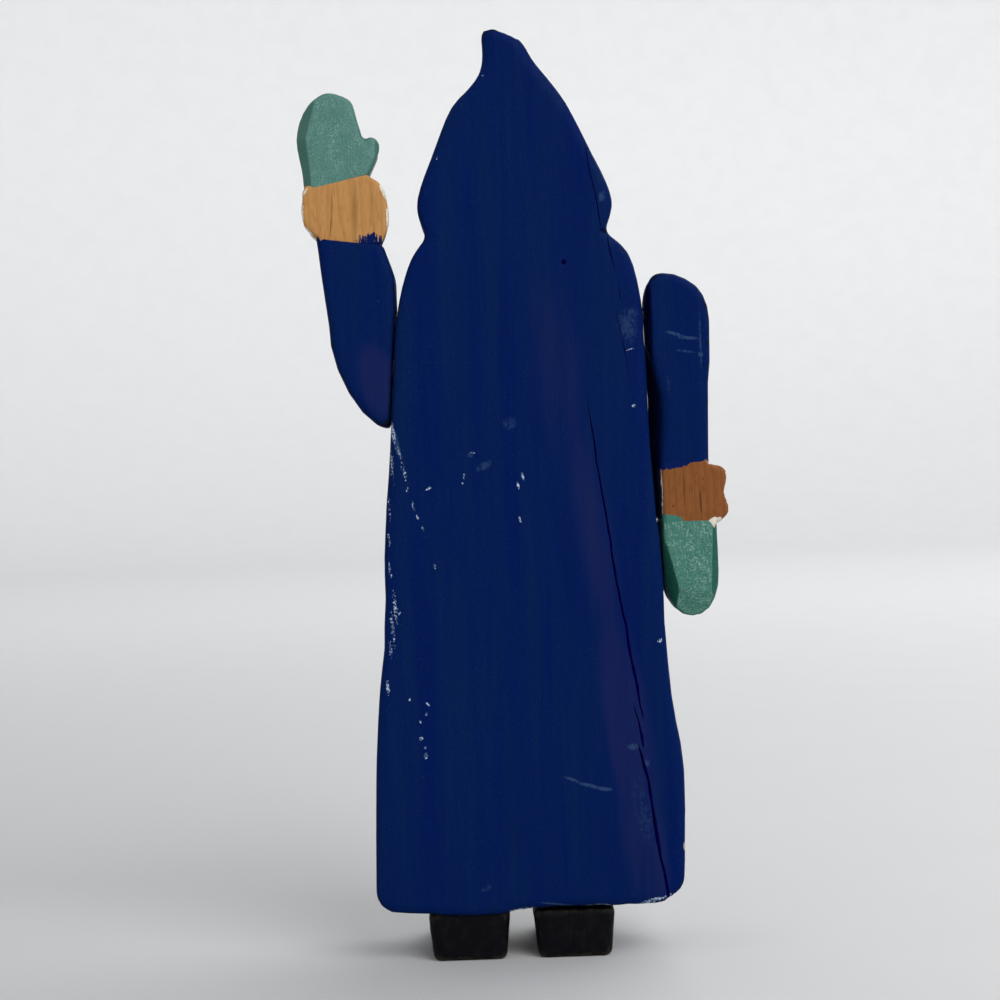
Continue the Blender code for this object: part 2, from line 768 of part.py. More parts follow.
def left_cuff_outline(clear):
    """A band of fur with bulging ends, cut on a slant at the hand."""
    low = LEFT_SLEEVE_LENGTH + GLUE_GAP
    high = low + LEFT_CUFF_LENGTH
    inner = clear + LEFT_CUFF_OUT
    outer = inner + LEFT_CUFF_WIDTH
    slant = LEFT_CUFF_SLANT / 2
    wrist_in = clear + LEFT_WRIST_OUT
    wrist_out = wrist_in + LEFT_WRIST_WIDTH
    hand_in = clear + LEFT_MITTEN_OUT - LEFT_THUMB_REACH
    hand_out = clear + LEFT_MITTEN_OUT + LEFT_MITTEN_WIDTH
    outer_line = smooth(
        (
            (wrist_out + LEFT_CUFF_LIP, low),
            (outer - LEFT_CUFF_FLARE, low + 0.16 * LEFT_CUFF_LENGTH),
            (outer, low + 0.40 * LEFT_CUFF_LENGTH),
            (outer, low + 0.68 * LEFT_CUFF_LENGTH),
            (hand_out - LEFT_CUFF_SHORT_OF_HAND, high - slant),
        )
    )
    inner_line = smooth(
        (
            (hand_in + LEFT_CUFF_PAST_THUMB, high + slant),
            (inner + LEFT_CUFF_INNER_FLARE, high - 0.05 * LEFT_CUFF_LENGTH),
            (inner, low + 0.50 * LEFT_CUFF_LENGTH),
            (inner, low + 0.26 * LEFT_CUFF_LENGTH),
            (wrist_in - LEFT_CUFF_LIP, low),
        )
    )
    return outer_line + inner_line


def left_mitten_outline(clear):
    """A broad mitten with its thumb toward the head."""
    slant = LEFT_CUFF_SLANT / 2
    low = LEFT_SLEEVE_LENGTH + LEFT_CUFF_LENGTH + 2 * GLUE_GAP
    palm, length, width = clear + LEFT_MITTEN_OUT, LEFT_MITTEN_LENGTH, LEFT_MITTEN_WIDTH
    thumb = palm - LEFT_THUMB_REACH
    thumb_top = low + slant + LEFT_THUMB_LENGTH
    fingers = smooth(
        (
            (palm + 0.82 * width, low - slant + GLUE_GAP),
            (palm + 0.90 * width, low + 0.14 * length),
            (palm + width, low + 0.47 * length),
            (palm + 0.92 * width, low + 0.76 * length),
            (palm + 0.68 * width, low + 0.96 * length),
            (palm + 0.48 * width, low + length),
            (palm + 0.22 * width, low + 0.94 * length),
            (palm + 0.12 * width, low + 0.82 * length),
            (palm, thumb_top - LEFT_THUMB_CREASE),
        )
    )
    thumb_line = smooth(
        (
            (palm - 0.42 * LEFT_THUMB_REACH, thumb_top),
            (thumb + LEFT_THUMB_CORNER_IN, thumb_top - LEFT_THUMB_CORNER_DOWN),
            (thumb - LEFT_THUMB_SWELL, thumb_top - 0.36 * LEFT_THUMB_LENGTH),
            (thumb + LEFT_THUMB_ROOT, low + slant + GLUE_GAP),
        )
    )
    return fingers + thumb_line


def add_left_arm(robe):
    hand = LEFT_SLEEVE_LENGTH + LEFT_CUFF_LENGTH
    arm_length = hand + LEFT_MITTEN_LENGTH
    frame, clear = arm_frame(
        1, left_line(), LEFT_LEAN, LEFT_PEG_BELOW_NECK, LEFT_PAD_LENGTH, arm_length
    )
    arm = add_empty("left_arm_pivot", frame, ROOT)
    sleeve = add_arm_board("left_sleeve", left_sleeve_outline(clear), ARM_EDGE, ROBE_BLUE, arm)
    cuff = add_arm_board(
        "left_cuff", left_cuff_outline(clear), CUFF_EDGE, LEFT_PINE, arm, CUFF_PROUD
    )
    mitten = add_arm_board("left_mitten", left_mitten_outline(clear), ARM_EDGE, LEFT_GREEN, arm)
    add_shoulder_peg("left_shoulder_peg", frame, robe, sleeve)
    add_wrist_dowel(
        "left_wrist_dowel",
        clear + LEFT_DOWEL_OUT,
        LEFT_SLEEVE_LENGTH,
        hand + 2 * GLUE_GAP,
        (sleeve, cuff, mitten),
        arm,
    )


def right_sleeve_outline(clear):
    """Round at the shoulder, flat against the robe there, and cut back below it."""
    pad, wrist = SHOULDER_GAP, RIGHT_SLEEVE_LENGTH
    width = clear + RIGHT_SLEEVE_WIDTH
    crown = RIGHT_SHOULDER_RISE
    apex = 0.32 * width
    relief = clear + RIGHT_RELIEF
    inner_top = arc(apex, 0.0, pad - apex, -crown, 20, 90, 2.6)
    outer_top = arc(
        apex,
        RIGHT_SHOULDER_ROUND - crown,
        width - apex,
        -RIGHT_SHOULDER_ROUND,
        90,
        0,
        2.1,
    )
    return [
        (relief, 0.56 * wrist),
        (pad + RIGHT_PAD_EASE, 2 * RIGHT_PAD_LENGTH),
        (pad, RIGHT_PAD_LENGTH),
        *inner_top,
        *outer_top[1:],
        (clear + RIGHT_WRIST_WIDTH + RIGHT_WRIST_FLARE, wrist),
        (clear, wrist),
        (relief, 0.72 * wrist),
    ]


def right_cuff_outline(clear):
    """A band of fur, straight toward the robe and with two scallops outside."""
    low = RIGHT_SLEEVE_LENGTH + GLUE_GAP
    length = RIGHT_CUFF_LENGTH
    outer = clear + RIGHT_CUFF_WIDTH
    outer_line = smooth(
        (
            (clear + RIGHT_WRIST_WIDTH + RIGHT_CUFF_LIP, low),
            (outer - RIGHT_CUFF_FLARE, low + 0.08 * length),
            (outer - RIGHT_CUFF_SCALLOP, low + 0.26 * length),
            (outer - RIGHT_CUFF_WAIST, low + 0.54 * length),
            (outer, low + 0.80 * length),
            (outer - RIGHT_CUFF_END, low + 0.95 * length),
            (clear + RIGHT_MITTEN_WIDTH - RIGHT_CUFF_SHORT_OF_HAND, low + length),
        )
    )
    return outer_line + [(clear, low + length), (clear, low)]


def right_mitten_outline(clear):
    """A mitten seen on its edge, with a round tip."""
    low = RIGHT_SLEEVE_LENGTH + RIGHT_CUFF_LENGTH + 2 * GLUE_GAP
    half = RIGHT_MITTEN_WIDTH / 2
    knuckle = low + RIGHT_MITTEN_LENGTH - RIGHT_FINGER_ROUND
    tip = arc(clear + half, knuckle, half, RIGHT_FINGER_ROUND, 0, 180, 2.1, steps=10)
    return [(clear + 0.98 * RIGHT_MITTEN_WIDTH, low), *tip, (clear, low)]


def lean_in(board, start, clear, end, proud=0.0):
    """Planes a board's inner side on a slant, so that past start its front comes in toward the robe."""
    reach = math.hypot(end, ARM_DEPTH / 2 + proud)
    inner = clear_of_robe(
        right_line(), RIGHT_LEAN, RIGHT_PEG_BELOW_NECK, RIGHT_SHOULDER_RISE, reach
    )
    for vertex in board.data.vertices:
        out, along, forward = vertex.co
        if forward > 0 and along > start and out < clear + RIGHT_DOWEL_OUT:
            vertex.co.x = inner


def add_right_arm(robe):
    hand = RIGHT_SLEEVE_LENGTH + RIGHT_CUFF_LENGTH
    arm_length = hand + RIGHT_MITTEN_LENGTH
    frame, clear = arm_frame(
        -1, right_line(), RIGHT_LEAN, RIGHT_PEG_BELOW_NECK, RIGHT_SHOULDER_RISE, arm_length
    )
    arm = add_empty("right_arm_pivot", frame, ROOT)
    sleeve = add_arm_board("right_sleeve", right_sleeve_outline(clear), ARM_EDGE, ROBE_BLUE, arm)
    lean_in(sleeve, 2 * RIGHT_PAD_LENGTH, clear, RIGHT_SLEEVE_LENGTH)
    cuff = add_arm_board(
        "right_cuff", right_cuff_outline(clear), CUFF_EDGE, RIGHT_PINE, arm, CUFF_PROUD
    )
    lean_in(cuff, RIGHT_SLEEVE_LENGTH, clear, hand + GLUE_GAP, CUFF_PROUD)
    mitten = add_arm_board(
        "right_mitten", right_mitten_outline(clear), ARM_EDGE, RIGHT_GREEN, arm
    )
    add_shoulder_peg("right_shoulder_peg", frame, robe, sleeve)
    add_wrist_dowel(
        "right_wrist_dowel",
        clear + RIGHT_DOWEL_OUT,
        RIGHT_SLEEVE_LENGTH,
        hand + 2 * GLUE_GAP,
        (sleeve, cuff, mitten),
        arm,
    )


def main():
    robe = add_robe()
    add_boot("left_boot", LEFT_BOOT_X, robe)
    add_boot("right_boot", -RIGHT_BOOT_X, robe)
    add_face()
    add_hood_trim()
    add_beard()
    add_moustache()
    add_nose()
    add_hem_trim()
    add_front_trim()
    add_left_arm(robe)
    add_right_arm(robe)


main()
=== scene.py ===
"""Finished look of a carved wooden figure of Father Christmas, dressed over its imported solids.

Each visible solid is carved again as a fine mesh in its own place, with knife cuts, gouged fur
and hair, a weathered split in the plank, and worn paint over wood. The figure stands at Z = 0 and
faces -Y, and its raised arm is at +X. Lengths are in metres, and MM turns millimetres into metres.
"""

import itertools
import logging
import math
from collections.abc import Callable, Mapping, Sequence
from dataclasses import dataclass, replace
from enum import Enum
from functools import partialmethod, wraps
from typing import Any

import bmesh
import bpy
import numpy as np
from mathutils import Matrix, Vector
from mathutils.kdtree import KDTree


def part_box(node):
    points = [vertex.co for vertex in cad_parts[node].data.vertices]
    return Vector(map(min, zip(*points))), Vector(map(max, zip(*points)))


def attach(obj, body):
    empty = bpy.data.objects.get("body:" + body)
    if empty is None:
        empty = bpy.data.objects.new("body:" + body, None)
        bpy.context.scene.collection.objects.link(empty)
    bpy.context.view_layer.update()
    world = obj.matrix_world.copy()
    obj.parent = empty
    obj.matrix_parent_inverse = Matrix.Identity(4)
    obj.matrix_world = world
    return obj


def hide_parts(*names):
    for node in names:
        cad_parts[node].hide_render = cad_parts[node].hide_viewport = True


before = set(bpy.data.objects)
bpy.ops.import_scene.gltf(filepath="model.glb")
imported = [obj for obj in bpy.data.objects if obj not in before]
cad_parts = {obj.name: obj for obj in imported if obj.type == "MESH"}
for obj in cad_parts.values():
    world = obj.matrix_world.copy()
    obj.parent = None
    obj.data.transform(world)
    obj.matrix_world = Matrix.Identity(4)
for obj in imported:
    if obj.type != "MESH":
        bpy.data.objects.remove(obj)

log = logging.getLogger("carved_figure")
MM = 0.001
Pair = tuple[float, float]
Path = tuple[Pair, ...]
Place = tuple[float, float, float]
Colour = Place
Heights = Sequence[Pair]
Size = float | Place


class Body(Enum):
    """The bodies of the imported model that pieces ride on."""

    FIGURE = "figure"
    LEFT_ARM = "left_arm"
    RIGHT_ARM = "right_arm"


class Show(Enum):
    """What shows where the top coat of paint is marked."""

    CHIP = "primer in a chip"
    SMUDGE = "dusty smear"
    TINT = "another shade of the paint"
    BARE = "bare or stained wood"
    # SHADE is painted shade: a dark navy laid where narrow places lie in shadow
    SHADE = "grime in a narrow place"


# Random shapes that are the same in each run
def dice(cells: np.ndarray, seed: int) -> np.ndarray:
    """Rolls one steady number for each cell.

    Args:
        cells: whole-number places, one row of three for each cell.
        seed: which set of numbers to roll.

    Returns:
        One number from 0 to 1 for each row.
    """
    x, y, z = (cells[:, i].astype(np.int64) for i in range(3))
    mixed = (x * 73856093) ^ (y * 19349663) ^ (z * 83492791) ^ ((seed + 11) * 40503)
    mixed = mixed & 0x7FFFFFFF
    mixed = ((mixed ^ (mixed >> 15)) * 2246822519) & 0x7FFFFFFF
    mixed = ((mixed ^ (mixed >> 13)) * 3266489917) & 0x7FFFFFFF
    return ((mixed ^ (mixed >> 16)) & 0xFFFFFF) / 0xFFFFFF


def ripple(points: np.ndarray, size: Size, seed: int = 0) -> np.ndarray:
    """Smooth uneven waves.

    Args:
        points: places to read, one row each.
        size: about how long a wave is, the same or not along each axis.
        seed: which set of waves.

    Returns:
        A height from -1 to 1 for each point.
    """
    place = points / np.asarray(size)
    base = np.floor(place)
    along = place - base
    along = along * along * (3 - 2 * along)
    total = np.zeros(len(points))
    for corner in itertools.product((0, 1), repeat=3):
        share = np.where(np.array(corner) > 0, along, 1 - along).prod(axis=1)
        total += share * dice(base + corner, seed)
    return 2 * total - 1


def nearest_middle(points: np.ndarray, size: Size, seed: int) -> tuple[np.ndarray, ...]:
    """Finds the nearest of uneven middles that lie side by side.

    Args:
        points: places to read, one row each.
        size: about how far apart the middles are, the same or not along each axis.
        seed: which set of middles.

    Returns:
        How far it is, squared, the way from it, and a number from 0 to 1 that each middle has.
    """
    place = points / np.asarray(size)
    base = np.floor(place)
    nearest = np.full(len(points), 4.0)
    away, own = np.zeros_like(place), np.zeros(len(points))
    for step in itertools.product((-1, 0, 1), repeat=3):
        cell = base + step
        middle = cell + np.stack([dice(cell, seed + 3 * i) for i in range(3)], axis=1)
        gap = place - middle
        far = (gap**2).sum(axis=1)
        closer = far < nearest
        nearest[closer], away[closer] = far[closer], gap[closer]
        own[closer] = dice(cell[closer], seed + 9)
    return nearest, away, own


def scallops(points: np.ndarray, size: Size, seed: int = 0) -> np.ndarray:
    """Round cuts side by side, as a gouge leaves them: 1 in their middles, 0 at the ridges."""
    return np.clip(1 - nearest_middle(points, size, seed)[0], 0, 1)


def curls(points: np.ndarray, size: float, seed: int = 0) -> tuple[np.ndarray, np.ndarray]:
    """Round tufts side by side, with a curl cut round in each, as fur is carved.

    Args:
        points: places to read, one row each.
        size: about how wide a tuft is.
        seed: which set of tufts.

    Returns:
        How deep the cut round the tufts is, and how deep the curl in them is, both from 0 to 1.
    """
    nearest, away, start = nearest_middle(points, size, seed)
    radius = np.sqrt(nearest)
    angle = np.arctan2(away[:, 2], away[:, 0] + away[:, 1])
    spiral = 0.5 + 0.5 * np.cos(angle + 2 * np.pi * (start - 2.1 * radius))
    return np.clip(nearest, 0, 1), spiral**2 * ease(radius, 0.05, 0.2)


def ease(values: np.ndarray, low: float, high: float) -> np.ndarray:
    """Goes softly from 0 at low to 1 at high."""
    share = np.clip((values - low) / (high - low), 0, 1)
    return share * share * (3 - 2 * share)


def dome(across: np.ndarray, edge: float, curve: float = 0.94) -> np.ndarray:
    """A round rise over a band: 1 along its middle, down to edge where across is -1 or 1."""
    return edge + (1 - edge) * np.sqrt(np.clip(1 - curve * across**2, 0, 1))


def hill(values: np.ndarray, middle: float, width: float) -> np.ndarray:
    """A soft hill, 1 at its middle."""
    return np.exp(-(((values - middle) / width) ** 2))


def placed(name: str, data: bpy.types.ID) -> bpy.types.Object:
    """Makes an object of a mesh, light or camera and puts it in the scene.

    Args:
        name: the object's name.
        data: what it is made of.

    Returns:
        The new object.
    """
    thing = bpy.data.objects.new(name, data)
    bpy.context.scene.collection.objects.link(thing)
    return thing


def placed_mesh(name: str, shape: bmesh.types.BMesh) -> bpy.types.Object:
    """Makes an object of a shape, with its faces all looking outward.

    Args:
        name: the object's name.
        shape: the shape, which is gone after that.

    Returns:
        The new object.
    """
    bmesh.ops.recalc_face_normals(shape, faces=shape.faces)
    if shape.calc_volume(signed=True) < 0:
        bmesh.ops.reverse_faces(shape, faces=shape.faces)
    mesh = bpy.data.meshes.new(name)
    shape.to_mesh(mesh)
    shape.free()
    return placed(name, mesh)


# Carving
# Sides of the meshes' squares, in millimetres
PLANK_MESH, KNIFE_MESH, FUR_MESH, MITTEN_MESH = 1.05, 0.55, 0.45, 0.42
BEARD_MESH, FACE_MESH, MOUSTACHE_MESH, NOSE_MESH = 0.42, 0.38, 0.32, 0.25


@dataclass(frozen=True)
class Slice:
    """One flat knife cut: all of the wood beyond a plane comes off.

    Attributes:
        point: a point of the plane, in millimetres.
        outward: the way from the plane to the wood that comes off.
    """

    point: Place
    outward: Place


@dataclass(frozen=True)
class Groove:
    """One run of a gouge over the front, from end to end, in millimetres.

    Attributes:
        start: where it starts, as x and z.
        end: where it ends, as x and z.
        width: half of its width.
        depth: how deep it goes.
        bow: how far it bows out sideways.
    """

    start: Pair
    end: Pair
    width: float
    depth: float
    bow: float = 0.0

    def at(self, points: np.ndarray) -> np.ndarray:
        """Reads how deep the groove is at each point.

        Args:
            points: places in metres, one row each.

        Returns:
            The depth at each point, in metres.
        """
        flat = points[:, (0, 2)] / MM
        start, run = np.array(self.start), np.subtract(self.end, self.start)
        share = ((flat - start) @ run) / (run @ run)
        along = np.clip(share, 0, 1)
        away = flat - start - along[:, None] * run
        away[:, 0] -= self.bow * 4 * along * (1 - along)
        taper = 0.25 + 0.75 * np.sin(np.pi * along)
        near = np.clip(1 - np.linalg.norm(away, axis=1) / (self.width * taper), 0, 1)
        return self.depth * MM * taper * near**1.6


class Carving:
    """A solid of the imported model, copied as a fine mesh and carved in its place."""

    def __init__(
        self, node: str, name: str, square: float, relax: int = 3, slices: Sequence[Slice] = ()
    ) -> None:
        """Copies the solid and gives it a fine even mesh.

        Args:
            node: the solid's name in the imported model.
            name: the new piece's name.
            square: the side of the mesh's squares, in millimetres.
            relax: rounds of softening.
            slices: flat cuts made before the mesh.
        """
        self.node = node
        shape = bmesh.new()
        shape.from_mesh(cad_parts[node].data)
        bmesh.ops.remove_doubles(shape, verts=shape.verts, dist=0.002 * MM)
        for one in slices:
            bmesh.ops.bisect_plane(
                shape,
                geom=shape.verts[:] + shape.edges[:] + shape.faces[:],
                plane_co=Vector(one.point) * MM,
                plane_no=Vector(one.outward).normalized(),
                clear_outer=True,
            )
            rim = [edge for edge in shape.edges if edge.is_boundary]
            bmesh.ops.triangle_fill(shape, edges=rim, use_beauty=True)
        self.piece = placed_mesh(name, shape)
        fine = self.piece.modifiers.new("fine mesh", "REMESH")
        fine.mode = "VOXEL"
        fine.voxel_size = square * MM
        if relax:
            soft = self.piece.modifiers.new("softened", "SMOOTH")
            soft.iterations = relax
        self.settle()

    def settle(self) -> None:
        """Makes the piece's modifiers part of its mesh."""
        bpy.context.view_layer.update()
        graph = bpy.context.evaluated_depsgraph_get()
        mesh = bpy.data.meshes.new_from_object(self.piece.evaluated_get(graph))
        mesh.name = self.piece.name
        self.piece.modifiers.clear()
        self.piece.data = mesh

    def read(self, what: str, count: int, items: Any) -> np.ndarray:
        """Reads one value of each of the mesh's items.

        Args:
            what: the value's name.
            count: how many numbers it has.
            items: the mesh's points, edges or the like.

        Returns:
            A row of numbers for each item.
        """
        kind = np.int32 if what == "vertices" else np.float32
        values = np.empty(len(items) * count, kind)
        items.foreach_get(what, values)
        return values.reshape(-1, count)

    @property
    def points(self) -> np.ndarray:
        """Where each of the mesh's points is."""
        return self.read("co", 3, self.piece.data.vertices).astype(float)

    @points.setter
    def points(self, places: np.ndarray) -> None:
        """Moves each point to its new place."""
        self.piece.data.vertices.foreach_set("co", places.astype(np.float32).ravel())
        self.piece.data.update()

    @property
    def normals(self) -> np.ndarray:
        """Which way the surface looks at each point."""
        return self.read("vector", 3, self.piece.data.vertex_normals).astype(float)

    def lower(self, depth: np.ndarray) -> None:
        """Takes wood off, straight into the surface, to a depth in metres."""
        self.points = self.points - self.normals * depth[:, None]

    def whittle(
        self, front: np.ndarray, size: Size, seed: int, cut: float, wave: Pair
    ) -> None:
        """Leaves the knife's scallops in front, and the whole surface a little uneven.

        Args:
            front: 1 where scallops are cut, down to 0 where none are.
            size: about how wide a scallop is, in millimetres.
            seed: which set of scallops.
            cut: how deep they go, in millimetres.
            wave: how long the uneven waves are, and how deep, in millimetres.
        """
        points, (length, depth) = self.points, wave
        uneven = depth * (1 + ripple(points, length * MM, seed + 1))
        self.lower((cut * front * scallops(points, metres(size), seed) + uneven) * MM)

    def thin(self, share: np.ndarray) -> None:
        """Thins the wood from its front.

        Args:
            share: how much of its thickness stays at each point.
        """
        points = self.points
        back = points[:, 1].max()
        points[:, 1] = back + (points[:, 1] - back) * share
        self.points = points

    def across(self, way: int) -> np.ndarray:
        """How far over to one side each point is, from -1 to 1."""
        x = self.points[:, 0]
        return way * (2 * x - x.min() - x.max()) / (x.max() - x.min())

    def widen(self, way: int, table: Heights) -> None:
        """Makes one side of the piece a little fuller than its solid.

        Args:
            way: 1 for the side towards +X, -1 for the other.
            table: how much fuller it is at each height, both in millimetres.
        """
        points, across = self.points, self.across(way)
        fuller = np.interp(points[:, 2] / MM, *zip(*table))
        points[:, 0] += way * ease(across, 0.2, 0.75) * fuller * MM
        self.points = points

    def meet(
        self, way: Sequence[float], depth: float, span: Pair = (-99, 99), behind: float = -99
    ) -> None:
        """Draws an end out into its neighbour, so that no groove shows where the two meet.

        Args:
            way: the way that the end looks.
            depth: how far the end goes in, in millimetres.
            span: where the neighbour starts and stops along X, in millimetres.
            behind: where the part that is drawn out starts along Y, in millimetres.
        """
        aim = np.asarray(way, float) / np.linalg.norm(way)
        points = self.points
        x, y, _ = (points / MM).T
        within = ease(x, span[0], span[0] + 1.0) * ease(x, span[1], span[1] - 1.0)
        within = within * ease(y, behind - 3.0, behind)
        along = points @ aim / MM
        end = along[within > 0.5].max()
        moved = within * ease(along, end - 4.8, end - 2.0)
        self.points = points + moved[:, None] * aim * depth * MM

    def lean(self, way: int, slope: float) -> None:
        """Leans one side in towards the front, as a saw held askew leaves it.

        Args:
            way: 1 for the side towards +X, -1 for the other.
            slope: how far it leans in for each unit of depth.
        """
        points = self.points
        depth = points[:, 1].max() - points[:, 1]
        points[:, 0] -= way * slope * depth * ease(self.across(way), -0.4, 0.9)
        self.points = points

    def gouge(self, grooves: Sequence[Groove]) -> None:
        """Runs a gouge over the front alone.

        Args:
            grooves: where it runs.
        """
        points, normals = self.points, self.normals
        facing = ease(-normals[:, 1], 0.2, 0.7)
        points[:, 1] += facing * sum(one.at(points) for one in grooves)
        self.points = points

    def split(self, cutters: Sequence[bpy.types.Object]) -> None:
        """Cuts other shapes out of the wood, and leaves their finish in the cut.

        Args:
            cutters: the shapes, which are gone after that.
        """
        self.note_wear()
        for cutter in cutters:
            cut = self.piece.modifiers.new(cutter.name, "BOOLEAN")
            cut.operation, cut.solver, cut.object = "DIFFERENCE", "MANIFOLD", cutter
            cut.material_mode = "TRANSFER"
        self.settle()
        for cutter in cutters:
            bpy.data.objects.remove(cutter)

    def note_wear(self, radius: float = 1.6, rounds: int = 2) -> None:
        """Stores how sharp each ridge and how deep each hollow is, for the paint to read.

        Args:
            radius: a ridge this round, in millimetres, counts in full.
            rounds: how often the values are spread to their neighbours.
        """
        mesh = self.piece.data
        points, normals = self.points, self.normals
        ends = self.read("vertices", 2, mesh.edges)
        first, second = ends[:, 0], ends[:, 1]
        run = points[second] - points[first]
        length = np.maximum((run**2).sum(axis=1), 1e-12)
        bend = ((normals[second] - normals[first]) * run).sum(axis=1) / length
        count = np.bincount(ends.ravel(), minlength=len(points)).clip(1)
        value = sum(np.bincount(end, bend, len(points)) for end in (first, second)) / count
        for _ in range(rounds):
            around = np.bincount(first, value[second], len(points))
            around += np.bincount(second, value[first], len(points))
            value = (value + around / count) / 2
        for label, signed in (("ridge", value), ("hollow", -value)):
            stored = mesh.attributes.new(label, "FLOAT", "POINT")
            stored.data.foreach_set("value", (signed * radius * MM).clip(0, 1).astype(np.float32))

    def hand_over(
        self, body: Body, slot: str, paint: "Paint", crease: float | None = None
    ) -> bpy.types.Object:
        """Dresses the piece, puts it in its solid's place and reports it.

        Args:
            body: the body it rides on.
            slot: the slot's name, passed on with the piece.
            paint: its finish.
            crease: the angle, in degrees, past which an edge is sharp.

        Returns:
            The finished piece.
        """
        if "ridge" not in self.piece.data.attributes:
            self.note_wear()
        materials, finish = self.piece.data.materials, paint.make()
        if len(materials):
            materials[0] = finish
        else:
            materials.append(finish)
        return hand_over(self.piece, body, slot, crease, self.node)


def hand_over(
    piece: bpy.types.Object, body: Body, slot: str, crease: float | None = None, *nodes: str
) -> bpy.types.Object:
    """Gives a piece its body, hides the solids it stands for, and reports it.

    Args:
        piece: the piece, in its place.
        body: the body it rides on.
        slot: not used.
        crease: the angle, in degrees, past which an edge is sharp.
        nodes: the solids that it replaces.

    Returns:
        The same piece.
    """
    piece.data.shade_smooth()
    if crease:
        piece.data.set_sharp_from_angle(angle=math.radians(crease))
    if nodes:
        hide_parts(*nodes)
    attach(piece, body.value)
    log.info("%s: %d faces, rides on %s", piece.name, len(piece.data.polygons), body.value)
    return piece


def in_mm(box: Sequence[Vector]) -> list[np.ndarray]:
    """The two far corners of a box, in millimetres."""
    return [np.array(corner) / MM for corner in box]


def solid(
    name: str, points: Sequence[Sequence[float]], faces: Sequence[Sequence[int]]
) -> bpy.types.Object:
    """Makes an object of points and faces, with its faces all looking outward.

    Args:
        name: the object's name.
        points: its points, in metres.
        faces: its faces, each as numbers of points.

    Returns:
        The new object.
    """
    shape = bmesh.new()
    made = [shape.verts.new(point) for point in points]
    for face in faces:
        shape.faces.new([made[i] for i in face])
    return placed_mesh(name, shape)


def sleeve_of_rings(name: str, rings: np.ndarray) -> bpy.types.Object:
    """Closes a row of rings of points into one skin.

    Args:
        name: the object's name.
        rings: rings of the same number of points, in metres.

    Returns:
        The new object.
    """
    count, sides = rings.shape[:2]
    faces: list[list[int]] = []
    for i, j in itertools.product(range(count - 1), range(sides)):
        following = (j + 1) % sides
        low, high = i * sides, (i + 1) * sides
        faces.append([low + j, low + following, high + following, high + j])
    faces.append(list(range(sides))[::-1])
    faces.append([(count - 1) * sides + j for j in range(sides)])
    return solid(name, rings.reshape(-1, 3), faces)


@dataclass(frozen=True)
class Bead:
    """A small rounded strip on the face, thick in its middle, such as a brow. In millimetres.

    Attributes:
        path: the points that its middle follows, as x and z.
        y: where its middle is, front to back.
        height: half of its height in the middle.
        depth: half of its depth in the middle.
        tufts: how many cuts cross it, as in carved hair.
    """

    path: Path
    y: float
    height: float
    depth: float
    tufts: int = 0

    def make(self, name: str) -> bpy.types.Object:
        """Makes the strip.

        Args:
            name: the piece's name.

        Returns:
            The new object.
        """
        steps, sides = 12 + 6 * self.tufts, 16
        knots = np.array(self.path)
        share = np.linspace(0, 1, steps)
        at = share * (len(knots) - 1)
        x, z = (np.interp(at, np.arange(len(knots)), knots[:, i]) for i in range(2))
        for _ in range(steps // 4):
            x[1:-1] = (x[:-2] + 2 * x[1:-1] + x[2:]) / 4
            z[1:-1] = (z[:-2] + 2 * z[1:-1] + z[2:]) / 4
        along = np.stack([np.gradient(x), np.gradient(z)], axis=1)
        along /= np.linalg.norm(along, axis=1)[:, None]
        full = np.sqrt(np.clip(1 - (2 * share - 1) ** 2, 0.004, 1))
        if self.tufts:
            full = full * (0.80 + 0.20 * np.abs(np.sin(np.pi * self.tufts * share)))
        turn = np.linspace(0, 2 * np.pi, sides, endpoint=False)
        rings = np.empty((steps, sides, 3))
        up = np.cos(turn)[None, :] * self.height * full[:, None]
        rings[:, :, 0] = x[:, None] - along[:, 1:2] * up
        rings[:, :, 1] = self.y - np.sin(turn)[None, :] * self.depth * full[:, None]
        rings[:, :, 2] = z[:, None] + along[:, 0:1] * up
        return sleeve_of_rings(name, rings * MM)


